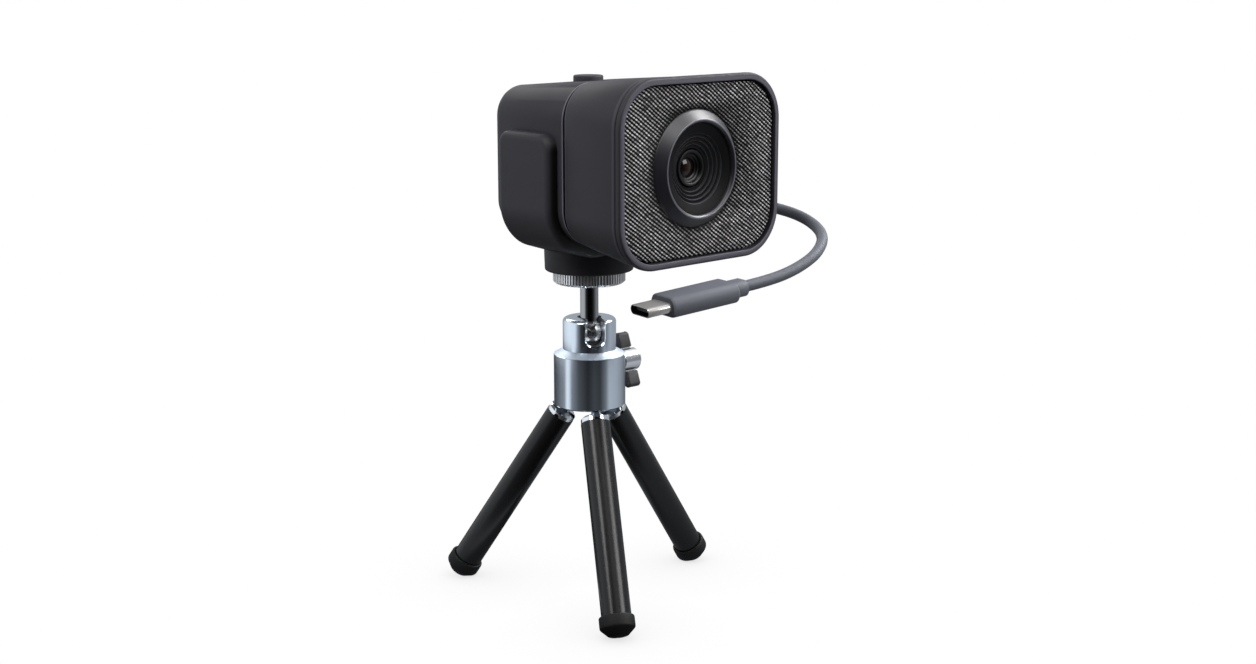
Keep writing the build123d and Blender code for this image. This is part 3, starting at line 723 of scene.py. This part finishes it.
def clamp_way():
    """Direction of the clamp screw, from the head to its grips."""
    hinge = joint("clamp_turn")
    way = Vector(hinge["axis"])
    return way if way.dot(middle("clamp_grips") - Vector(hinge["pos_m"])) > 0 else -way


class WEBCAM_OT_stage(bpy.types.Operator):
    """Sets the camera, the floor and the studio light"""

    bl_idname = "webcam.stage"
    bl_label = "Stage"

    def execute(self, context):
        deselect()
        view = context.scene.webcam_view
        turn = view.azimuth
        ahead = Vector((math.sin(turn), math.cos(turn), -math.tan(view.pitch)))
        bpy.ops.object.camera_add(location=AXIS + Vector(view.place))
        camera = context.object
        camera.rotation_euler = ahead.to_track_quat("-Z", "Y").to_euler()
        camera.data.sensor_width = 36.0
        camera.data.sensor_fit = "HORIZONTAL"
        camera.data.lens = view.focal
        camera.data.shift_x = -0.0008
        camera.data.clip_start = 0.01
        context.scene.camera = camera
        bpy.ops.mesh.primitive_plane_add(size=6.0, location=(0, 0, 0))
        floor = context.object
        floor.name = "studio_floor"
        floor.data.materials.append(self.floor_finish())
        for name, place, size, power in (
                ("overhead", (-0.30, -0.30, 1.0), (0.7, 0.5), 2.5),
                ("left", (-0.80, 0.0, 0.80), (0.35, 0.5), 4.2),
                ("right", (0.62, -0.20, 0.62), (0.4, 0.4), 5.5),
                ("front", (0.35, -0.85, 0.55), (0.5, 0.4), 4.0),
                ("back", (0.15, 0.7, 0.6), (0.6, 0.3), 1.5)):
            self.lamp(name, place, size, power)
        self.world(context, view.ambient)
        context.scene.view_settings.view_transform = "Standard"
        return {"FINISHED"}

    def lamp(self, name, place, size, power):
        aim = AXIS + Vector((0, 0, 0.11))
        bpy.ops.object.light_add(type="AREA", location=place)
        lamp = bpy.context.object
        lamp.name = name
        lamp.data.shape = "RECTANGLE"
        lamp.data.size, lamp.data.size_y = size
        lamp.data.energy = power
        lamp.rotation_euler = (aim - Vector(place)).to_track_quat("-Z", "Y").to_euler()

    def panels(self, f, x, y, far):
        """Brightness of the studio's panels by their bearing, as polished metal shows them."""
        turn = bpy.context.scene.webcam_view.azimuth
        to_view = x * -math.sin(turn) + y * -math.cos(turn)
        to_right = x * math.cos(turn) + y * -math.sin(turn)
        angle = f.node("ShaderNodeMath", {"operation": "ARCTAN2"}, {0: to_right, 1: to_view})
        bearing = angle / math.tau + 0.5
        tint = (0.94, 0.98, 1.05)
        low = [
            (-180, 0.30), (-150, 0.05), (-118, 0.13), (-86, 0.28), (-75, 1.0), (-66, 0.8),
            (-58, 0.25), (-32, 0.09), (-4, 0.03), (16, 0.07), (35, 0.05), (54, 0.20), (66, 0.52),
            (93, 0.45), (122, 0.30), (150, 0.15), (180, 0.3)]
        high = [
            (-180, 0.42), (-150, 0.4), (-128, 0.8), (-95, 1.0), (-62, 0.9), (-50, 0.30),
            (-36, 0.04), (-10, 0.004), (20, 0.004), (40, 0.012), (60, 0.07), (80, 0.24),
            (100, 0.45), (125, 0.4), (150, 0.4), (180, 0.42)]
        shades = [f.node("ShaderNodeValToRGB", {"stops": [
            (degrees / 360 + 0.5, tone(tint, level)) for degrees, level in panels]},
            {"Fac": bearing}) for panels in (low, high)]
        return f.blend(far, *shades)

    def floor_finish(self):
        """White with a soft shadow to the camera, panels to metal and grey to the lamps."""
        f = Finish("studio_floor")
        x, y, z = f.from_axis()
        dull = f.noise(30.0, 2.0)
        f.set(colour=f.blend(dull, (0.12, 0.12, 0.12), (0.14, 0.14, 0.14)), rough=0.9, gloss=0.1)
        open_air = f.node("ShaderNodeAmbientOcclusion", {"samples": 8}, {"Distance": 0.03}, "AO")
        share = ((distance(x, y) - 0.30) / 0.07).clamped()
        pale = f.blend(open_air, (0.72, 0.72, 0.72), (1.0, 1.0, 1.0))
        white, around = [f.node("ShaderNodeEmission", None, {"Color": colour})
                         for colour in (pale, self.panels(f, x, y, share))]
        seen = f.ray("Camera").most(f.ray("Transmission"))
        plain = f.node("ShaderNodeMixShader", None, {
            0: seen, 1: Value(f, f.shader.outputs[0]), 2: white})
        mixed = f.node("ShaderNodeMixShader", None, {0: f.ray("Glossy"), 1: plain, 2: around})
        f.feed(f.tree.nodes["Material Output"].inputs["Surface"], mixed)
        return f.material

    def world(self, context, ambient):
        """White to the camera, panels and a ceiling to metal, a little light from all round."""
        world = bpy.data.worlds.new("studio")
        context.scene.world = world
        f = Nodes(world)
        x, y, z = f.split(f.place())
        black, white = (0.0, 0.0, 0.0), (1.0, 1.0, 1.0)
        ceiling = ((z - 0.45) * 4.0).clamped()
        across = ((x * 0.72 - y * 0.69) * 2.0 + 0.5).most(0.12).least(1.0)
        around = f.blend(ceiling, self.panels(f, x, y, 1.0), f.blend(across, black, white))
        mirrored = f.ray("Glossy")
        seen = f.ray("Camera").most(f.ray("Transmission")).most(mirrored)
        background = f.tree.nodes["Background"].inputs
        f.feed(background["Color"], f.blend(mirrored, white, around))
        f.feed(background["Strength"], seen * (1 - ambient) + ambient)


class WEBCAM_OT_lead(bpy.types.Operator):
    """Makes the lead as one smooth curve from its gland to the plug"""

    bl_idname = "webcam.lead"
    bl_label = "Lead and plug"

    def execute(self, context):
        deselect()
        steps = [
            (0.0, 0.0, 0.0), (6.1, 0.0, 0.0), (14.6, -4.0, -1.7), (19.0, -14.0, -4.2),
            (15.6, -24.3, -7.6), (6.9, -29.7, -11.0), (-1.9, -30.4, -14.0), (-11.1, -29.2, -16.2),
            (-20.1, -27.4, -17.1)]
        curve = bpy.data.curves.new("lead", "CURVE")
        curve.dimensions = "3D"
        spline = curve.splines.new("NURBS")
        spline.points.add(len(steps) - 1)
        for point, step in zip(spline.points, steps):
            point.co = (*(EXIT + Vector(step) * MM), 1.0)
        spline.order_u = 3
        spline.use_endpoint_u = True
        spline.resolution_u = 14
        curve.bevel_depth = sizes().cord_width / 2
        curve.bevel_resolution = 8
        curve.use_fill_caps = True
        lead = bpy.data.objects.new("lead", curve)
        context.collection.objects.link(lead)
        finish_piece(lead, "lead", "camera", "lead_grey", "cable")
        way = (Vector(steps[-1]) - Vector(steps[-2])).normalized()
        ends = [*self.plug(EXIT + Vector(steps[-1]) * MM, way), frame["nodes"]["plug_tongue"]]
        return {"FINISHED"}

    def plug(self, tip, way):
        """Sleeve, body and metal shell of the plug, in line with the lead's end."""
        across = UP.cross(way).normalized()
        over = way.cross(across)
        body_start, end, shell_start = [tip + way * reach * MM for reach in (4.2, 24.4, 24.6)]
        sleeve = grown((5.7, 3.8, 1.85, 10), [(-0.18, 0.08), (-0.07, 0.17), (0, 3.95)],
                       tip, across, over)
        finish_piece(sleeve, "lead_sleeve", "camera", "lead_grey", "plug_sleeve")
        edge = quarter(0.8, 5)
        widen = [(-inset, advance) for inset, advance in reversed(edge)]
        body = grown((9.0, 3.6, 1.75, 12), [*widen, (0, 18.8), *edge, (1.0, 0)],
                     body_start, across, over)
        finish_piece(body, "plug_grip", "camera", "lead_grey", "plug_body")

        def painted_end_shade(x, y, z):
            return along(way, x, y, z).above(end.dot(way))

        # Painted shade: the plug's end face is darker than the rest of the grip.
        self.recolour(body, "plug_end", "lead_grey", tone(settings().lead, 0.35), painted_end_shade)
        lip = [(0.05, 0.12), (0.1, 0.08), (0.15, -0.03)]
        shell = grown((8.34, 2.56, 1.24, 12), [(0, 6.45), *lip, (0, -5.8)],
                      shell_start, across, over)
        finish_piece(shell, "plug_mouth", "camera", "plug_steel", "plug_shell")
        straight, radius = 2.93 * MM, 1.1 * MM

        def inside(x, y, z):
            wide = (along(across, x, y, z) - end.dot(across)).absolute() - straight
            tall = along(over, x, y, z) - end.dot(over)
            return 1 - (wide.most(0.0) ** 2.0 + tall * tall).above(radius ** 2)

        # Painted shade: near-black inside the mouth of the shell.
        self.recolour(shell, "plug_inside", "plug_steel", (0.01, 0.01, 0.01), inside)
        return sleeve, body, shell

    def recolour(self, piece, name, finish, colour, mask):
        """Gives a piece its own copy of a finish with a second colour."""
        piece.data.materials[0] = repaint(FINISHES[finish].copy(), colour, mask)
        piece.data.materials[0].name = name


class WEBCAM_OT_face(bpy.types.Operator):
    """Makes the rim of the face and the woven cover inside it"""

    bl_idname = "webcam.face"
    bl_label = "Rim and cover"

    def execute(self, context):
        rim = grown(
            (57.1, 46.7, 12.1, 18), [(-0.35, 0.3), (0, 0.85), *quarter(0.6, 5), (0.9, 0.1),
                                     (0.12, -0.03), (0.09, -0.09), (0, -1.4)],
            behind_rim(1.87), RIGHT, UP, hollow)
        finish_piece(
            rim, "face_rim", "camera", "shell_plastic", "front_bezel", finish="shell_edges")
        cover = grown((53.6, 43.2, 10.4, 18), [(0, 0.3), *quarter(0.55, 5), (2.0, 0.03)],
                      behind_rim(1.68), RIGHT, UP)
        cut(cover, rod(14.6, -5.0, 5.0, LENS_FRONT, BACK))
        finish_piece(cover, "woven_cover", "camera", "fabric", "fabric_cover")
        return {"FINISHED"}


class WEBCAM_OT_lens(bpy.types.Operator):
    """Turns the lens ring, its ridged funnel, the lens barrel and the front glass"""

    bl_idname = "webcam.lens"
    bl_label = "Lens"

    def execute(self, context):
        ring = turned([
            (11.6, 4.9), (11.6, -1.15), (11.68, -1.30), (11.98, -1.61), (12.14, -1.69),
            (12.36, -1.70), (12.54, -1.62), (12.7, -1.45), (13.6, -0.55), (14.5, 0.42),
            (14.8, 0.70), (RING, 1.1), (RING, 4.9), (11.6, 4.9)], LENS_FRONT, BACK)
        finish_piece(ring, "lens_ring", "camera", "lens_ring", "lens_housing")
        profile = [(11.58, 4.8), (11.58, -0.60), (9.05, 0.12)]
        for ridge in range(4):
            edge, depth = 8.9 - RIDGE * ridge, 0.2 + 0.55 * ridge
            profile += [(edge, depth), (edge - 0.08, depth + 0.50), (edge - 0.82, depth + 0.62)]
        profile += [(5.0, 2.42), (5.0, 4.8), (11.58, 4.8)]
        funnel = turned(profile, LENS_FRONT, BACK)
        modify(funnel, "BEVEL", width=0.07 * MM, segments=2, limit_method="ANGLE",
               angle_limit=math.radians(35))
        finish_piece(
            funnel, "lens_funnel", "camera", "lens_black", "lens_baffle", finish="lens_funnel")
        barrel = turned([
            (2.55, 5.1), (2.55, 3.75), (2.62, 3.62), (2.95, 3.50), (3.05, 3.38), (3.05, 3.22),
            (3.12, 3.10), (3.5, 2.98), (3.6, 2.86), (3.6, 2.70), (3.75, 2.42), (4.0, 2.22),
            (4.3, 2.15), (4.55, 2.22), (4.7, 2.42), (4.75, 2.8), (4.75, 14.3), (2.55, 14.3),
            (2.55, 5.1)], LENS_FRONT, BACK, steps=96)
        finish_piece(barrel, "lens_tube", "camera", "lens_black", "lens_barrel")
        glass = turned([
            (0, 3.2), (0.4, 3.21), (0.8, 3.26), (1.2, 3.34), (1.6, 3.46), (2.0, 3.62),
            (2.3, 3.78), (2.54, 3.95), (2.54, 5.1), (0, 5.1)], LENS_FRONT, BACK, steps=96)
        finish_piece(glass, "front_glass", "camera", "glass", "front_lens")
        return {"FINISHED"}


class WEBCAM_OT_shells(bpy.types.Operator):
    """Makes the front and rear shells with the groove between them, and the button on top"""

    bl_idname = "webcam.shells"
    bl_label = "Shells and button"

    def execute(self, context):
        front = grown(
            (56.5, 46.1, 11.8, 18), [(-0.2, 0.06), (-0.18, 0.18), (-0.1, 0.3), (2.66, 20.2, 0.9),
                                     *quarter(0.4, 4), (1.6, 0), (-2.6, -20.6, -0.9)],
            behind_rim(1.93, 0.08), -RIGHT, UP, hollow)
        finish_piece(
            front, "shell_front", "camera", "shell_plastic", "front_shell", finish="shell_edges")
        rear = grown(
            (50.9, 40.5, 9.5, 18), [(0, 0.25), (-0.16, 0.04), (-0.18, 0.12), (-0.1, 0.2),
                                    (1.8, 25.7, -0.12), *quarter(4.5, 9), (2.0, 0)],
            behind_rim(SEAM, REAR_LIFT), -RIGHT, UP)
        finish_piece(
            rear, "shell_rear", "camera", "shell_plastic", "rear_shell", finish="shell_edges")
        low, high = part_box("button_cap")
        top = (high[2] - low[2]) / MM
        foot = middle("button_cap")
        foot.z = low[2]
        cap = turned([
            (0, 0), (4.65, 0), (4.65, 0.8), (4.0, 0.85), (4.0, top - 0.45), (3.93, top - 0.2),
            (3.75, top - 0.05), (3.5, top), (0, top)], foot, steps=72)
        finish_piece(cap, "push_button", "button", "shell_plastic", "button_cap")
        return {"FINISHED"}


class WEBCAM_OT_cradle(bpy.types.Operator):
    """Shapes the cradle's arms and floor, and hollows them to the body"""

    bl_idname = "webcam.cradle"
    bl_label = "Cradle"

    def execute(self, context):
        low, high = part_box("yoke")
        base, drop, extra, slope, bend = 12.6, 0.6, 0.6, 17.0, 12.3
        half = (high[0] - low[0]) / 2 / MM
        rise = (high[2] - low[2]) / MM - 0.5
        deep = (high[1] - low[1]) / MM + extra
        corner = (half - base) * math.tan(math.radians(slope)) - drop
        turn = math.radians(90.0 - slope)
        outline = [(-half, rise), (-half, corner), (-base, -drop),
                   (base, -drop), (half, corner), (half, rise)]
        yoke = trace([Vector((x, y, 0)) * MM for x, y in outline])
        bpy.ops.mesh.edge_face_add()
        pick(yoke, "vertices", lambda v: abs(v.co.y - corner * MM) < LEVEL)
        bpy.ops.mesh.bevel(offset=bend * math.tan(turn / 2) * MM, segments=16, affect="VERTICES")
        select_all()
        extrude((0, 0, deep * MM))
        for far, radius in ((0.0, 3.2), (deep * MM, 4.4)):
            self.round_top(yoke, rise * MM, far, radius)
        face_out()
        stand(yoke, Vector((middle("yoke").x, high[1] + extra * MM, low[2])), RIGHT, UP)
        modify(yoke, "BEVEL", width=1.9 * MM, segments=6, limit_method="ANGLE",
               angle_limit=math.radians(40), use_clamp_overlap=False, loop_slide=False)
        cut(yoke, grown((52.1, 41.7, 10.1, 18), [(1.85, 27.4, -0.12), (0.4, 6.0)],
                        behind_rim(SEAM, REAR_LIFT), -RIGHT, UP))
        self.seat_screws(yoke)
        settle(yoke)
        finish_piece(yoke, "cradle_yoke", "cradle", "shell_plastic", "yoke", finish="cradle")
        return {"FINISHED"}

    def round_top(self, yoke, rise, far, radius):
        """Rounds the edges that run across the arms' tops at one depth."""
        object_mode()
        places = [v.co.copy() for v in yoke.data.vertices]

        def across_top(edge):
            return all(abs(places[i].y - rise) < LEVEL and abs(places[i].z - far) < LEVEL
                       for i in edge.vertices)

        pick(yoke, "edges", across_top)
        bpy.ops.mesh.bevel(offset=radius * MM, segments=10, affect="EDGES")

    def seat_screws(self, yoke):
        """Bores the seats of the screws that hold the collar."""
        low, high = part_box("collar_screws")
        radius = (high[1] - low[1]) / 2
        for x in (low[0] + radius, high[0] - radius):
            seat = Vector((x, middle("collar_screws").y, high[2] + 2.8 * MM))
            cut(yoke, rod(radius / MM + 0.15, -4.0, 4.0, seat))


class WEBCAM_OT_collar(bpy.types.Operator):
    """Turns the collar under the cradle and the ribbed lock disc"""

    bl_idname = "webcam.collar"
    bl_label = "Collar and lock disc"

    def execute(self, context):
        low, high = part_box("thread_collar")
        tall = (high[2] - low[2]) / MM
        foot = Vector((AXIS.x, AXIS.y, low[2]))
        collar = turned([
            (4.8, 0), (11.4, 0), (11.75, 0.08), (11.95, 0.25), (12.02, 0.5), (12.2, tall - 0.4),
            (12.1, tall - 0.1), (11.8, tall), (4.8, tall), (4.8, 0)], foot)
        finish_piece(collar, "cradle_collar", "cradle", "shell_plastic", "thread_collar")
        self.disc(context)
        return {"FINISHED"}

    def disc(self, context):
        """Sinks grooves between the ribs of a cylinder and bevels its two faces."""
        low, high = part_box("lock_disc")
        top, bottom = DISC_TOP * MM, DISC_BOTTOM * MM
        tall = high[2] - low[2] - top - bottom
        count, sunk = 6 * sizes().disc_ribs, 0.983
        deselect()
        bpy.ops.mesh.primitive_cylinder_add(
            vertices=count, radius=DISC * MM, depth=tall,
            location=(AXIS.x, AXIS.y, low[2] + bottom + tall / 2))
        disc = context.object
        pick(disc, "vertices",
             lambda v: round(math.atan2(v.co.y, v.co.x) / math.tau * count) % 6 in (2, 3))
        bpy.ops.transform.resize(value=(sunk, sunk, 1.0), center_override=disc.location)
        for side, rise in ((1, top), (-1, bottom)):
            pick(disc, "polygons", lambda f: f.normal.z * side > 0.9)
            extrude((0, 0, side * rise))
            share = 1 - rise * 1.2 / (DISC * MM)
            bpy.ops.transform.resize(value=(share, share, 1.0), center_override=disc.location)
            bpy.ops.mesh.inset(thickness=0.4 * MM, depth=0.0)
        settle(disc, 20.0)
        finish_piece(
            disc, "ribbed_disc", "locking_disc", "head_steel", "lock_disc", finish="ribbed_steel")


class WEBCAM_OT_stem(bpy.types.Operator):
    """Turns the ball with its post and stud"""

    bl_idname = "webcam.stem"
    bl_label = "Ball stem"

    def execute(self, context):
        low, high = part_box("ball_stem")
        ball = Vector((AXIS.x, AXIS.y, low[2] + BALL * MM))
        tall = (high[2] - ball.z) / MM
        turns = [math.radians(angle) for angle in range(5, 141, 5)]
        arc = [(BALL * math.sin(a), -BALL * math.cos(a)) for a in turns]
        stem = turned([
            (0, -BALL), *arc, (2.5, 3.25), (2.5, 14.05), (3.15, 14.05), (3.15, tall - 0.6),
            (2.6, tall), (0, tall)], ball, steps=96)
        finish_piece(stem, "ball_post", "stem", "bright_steel", "ball_stem", finish="post_steel")
        return {"FINISHED"}


class WEBCAM_OT_head(bpy.types.Operator):
    """Turns the body of the ball head and cuts its slot and holes"""

    bl_idname = "webcam.head"
    bl_label = "Ball head"

    def execute(self, context):
        low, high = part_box("head_body")
        foot = Vector((AXIS.x, AXIS.y, low[2]))
        tall = (high[2] - low[2]) / MM - 1.0
        ball = (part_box("ball_stem")[0][2] - low[2]) / MM + BALL
        room, throat, neck, edge, sink = 4.08, 3.3, 7.3, 1.2, 2.2
        rises = [math.acos(throat / room) * i / 8 for i in range(9)]
        dome = [(room * math.cos(a), ball + room * math.sin(a)) for a in rises]
        turns = [math.pi / 2 * i / 6 for i in range(7)]
        crest = [
            (neck - edge + edge * math.sin(a), tall - edge + edge * math.cos(a)) for a in turns]
        head = turned([
            (room, sink), *dome, (throat, tall), *crest, (neck, 15.7), (9.8, 14.3), (9.8, 0.4),
            (9.4, 0), (9.03, 0), (9.03, sink), (room, sink)], foot)
        for cutter in (self.slot(foot + UP * (ball + 3.3) * MM), *self.holes(foot)):
            cut(head, cutter)
        settle(head)
        finish_piece(head, "head_turned", "tripod_head", "head_steel", "head_body")
        return {"FINISHED"}

    def slot(self, origin):
        """The slot in the neck that takes the tilted post, with a flared mouth."""
        bearing = math.radians(-29.0)
        out = Vector((math.sin(bearing), -math.cos(bearing), 0))
        across = UP.cross(out)
        return grown((5.4, 12.0, 2.69, 16), [(0, 6.5), (-0.28, 0.3), (0, 4.0)],
                     origin, across, out.cross(across))

    def holes(self, foot):
        """The holes of the clamp screw and of the three screws of the leg plate."""
        clamp = Vector((AXIS.x, AXIS.y, joint("clamp_turn")["pos_m"][2]))
        yield rod(2.0, 0, 12, clamp, clamp_way(), UP, 48)
        for name in LEGS:
            pivot = Vector(joint("leg_%s_fold" % name)["pos_m"]) - AXIS
            aside = Matrix.Rotation(math.radians(60), 3, "Z")
            place = aside @ Vector((pivot.x, pivot.y, 0)).normalized() * 6.3 * MM
            yield rod(1.03, 0, 6.4, foot + place, steps=32)


class WEBCAM_OT_grips(bpy.types.Operator):
    """Makes the two rounded grips of the clamp screw"""

    bl_idname = "webcam.grips"
    bl_label = "Clamp grips"

    def execute(self, context):
        out = clamp_way()
        tilt = math.radians(21.0)
        wing = UP * math.cos(tilt) + UP.cross(out).normalized() * math.sin(tilt)
        first, second = [grown(
            (1.9, 4.0, 0.75, 8), [(-0.2, 0.1), (-0.1, 0.25), (0, 3.15), *quarter(0.9, 6), (0.2, 0)],
            middle("clamp_grips") + way * 3.35 * MM, out.cross(way), out) for way in (wing, -wing)]
        select_only(first)
        second.select_set(True)
        bpy.ops.object.join()
        finish_piece(first, "wing_grips", "clamp", "grip_black", "clamp_grips")
        return {"FINISHED"}


class WEBCAM_OT_legs(bpy.types.Operator):
    """Turns one leg tube and its foot, and copies them to the three pivots"""

    bl_idname = "webcam.legs"
    bl_label = "Legs and feet"

    def execute(self, context):
        end = -58.4
        zero = Vector((0, 0, 0))
        tube = turned([
            (3.25, 0), (3.85, 0), (4.0, -0.15), (4.0, end + 2.3), (3.25, end + 2.3), (3.25, 0)],
            zero, steps=64)
        foot = turned([(radius, end + height) for radius, height in (
            (0, 0), (2.2, 0), (2.6, 0.1), (2.85, 0.25), (4.55, 1.9), (4.7, 2.15), (4.75, 2.45),
            (4.75, 4.75), (4.68, 5.05), (4.5, 5.25), (4.2, 5.3), (4.03, 5.2), (4.03, 2.3),
            (0, 2.3))], zero, steps=64)
        for name in LEGS:
            hinge = joint("leg_%s_fold" % name)
            splay = math.radians(hinge["range_deg"][1])
            turn = Matrix.Rotation(-splay, 4, Vector(hinge["axis"]))
            place = Matrix.Translation(hinge["pos_m"]) @ turn
            body = "leg_" + name
            leg = self.copy(tube, place)
            finish_piece(leg, "tripod_tube_" + name, body, "leg_black", "leg_tube_" + name)
            cap = self.copy(foot, place)
            self.flatten(cap)
            finish_piece(cap, "tripod_foot_" + name, body, "foot_rubber", "leg_foot_" + name)
        for start in (tube, foot):
            bpy.data.objects.remove(start)
        return {"FINISHED"}

    def copy(self, start, place):
        select_only(start)
        bpy.ops.object.duplicate()
        piece = bpy.context.object
        piece.matrix_world = place
        return settle(piece)

    def flatten(self, piece):
        """Cuts the foot flat where it stands on the floor."""
        edit_all()
        bpy.ops.mesh.bisect(plane_co=(0, 0, 0), plane_no=(0, 0, -1), use_fill=True,
                            clear_outer=True, threshold=0.000001)
        settle(piece)


class WEBCAM_OT_dress(bpy.types.Operator):
    """Gives every CAD piece that stays its finish"""

    bl_idname = "webcam.dress"
    bl_label = "Finish the kept pieces"

    def execute(self, context):
        own = {"ball_seat": "seat_steel"}
        for entry in frame["record"]["subparts"]:
            node = frame["nodes"][entry["node"]]
            node.data.materials.clear()
            node.data.materials.append(FINISHES[own.get(entry["node"], entry["material_slot"])])
        return {"FINISHED"}


class WEBCAM_PT_panel(bpy.types.Panel):
    """Lists the steps that make the webcam"""

    bl_idname = "WEBCAM_PT_panel"
    bl_label = "Webcam"
    bl_space_type = "VIEW_3D"
    bl_region_type = "UI"
    bl_category = "Webcam"

    def draw(self, context):
        for step in STEPS:
            self.layout.operator(step.bl_idname)
        for name in GROUPS:
            group = getattr(context.scene, name)
            for key in group.bl_rna.properties.keys():
                if key not in ("rna_type", "name"):
                    self.layout.prop(group, key)


STEPS = (
    WEBCAM_OT_stage, WEBCAM_OT_lead, WEBCAM_OT_dress, WEBCAM_OT_face, WEBCAM_OT_lens,
    WEBCAM_OT_shells, WEBCAM_OT_cradle, WEBCAM_OT_collar, WEBCAM_OT_stem, WEBCAM_OT_head,
    WEBCAM_OT_grips, WEBCAM_OT_legs)
GROUPS = {
    "webcam_view": ViewSettings, "webcam_finish": FinishSettings, "webcam_sizes": SizeSettings}
CLASSES = (*GROUPS.values(), *STEPS, WEBCAM_PT_panel)


def register():
    for cls in CLASSES:
        bpy.utils.register_class(cls)
    for name, group in GROUPS.items():
        setattr(bpy.types.Scene, name, PointerProperty(type=group))


def unregister():
    for name in GROUPS:
        delattr(bpy.types.Scene, name)
    for cls in reversed(CLASSES):
        bpy.utils.unregister_class(cls)


def main():
    register()
    make_finishes()
    bpy.ops.webcam.stage()
    bpy.ops.webcam.lead()
    bpy.ops.webcam.dress()
    bpy.ops.webcam.face()
    bpy.ops.webcam.lens()
    bpy.ops.webcam.shells()
    bpy.ops.webcam.cradle()
    bpy.ops.webcam.collar()
    bpy.ops.webcam.stem()
    bpy.ops.webcam.head()
    bpy.ops.webcam.grips()
    bpy.ops.webcam.legs()


if __name__ == "__main__":
    main()
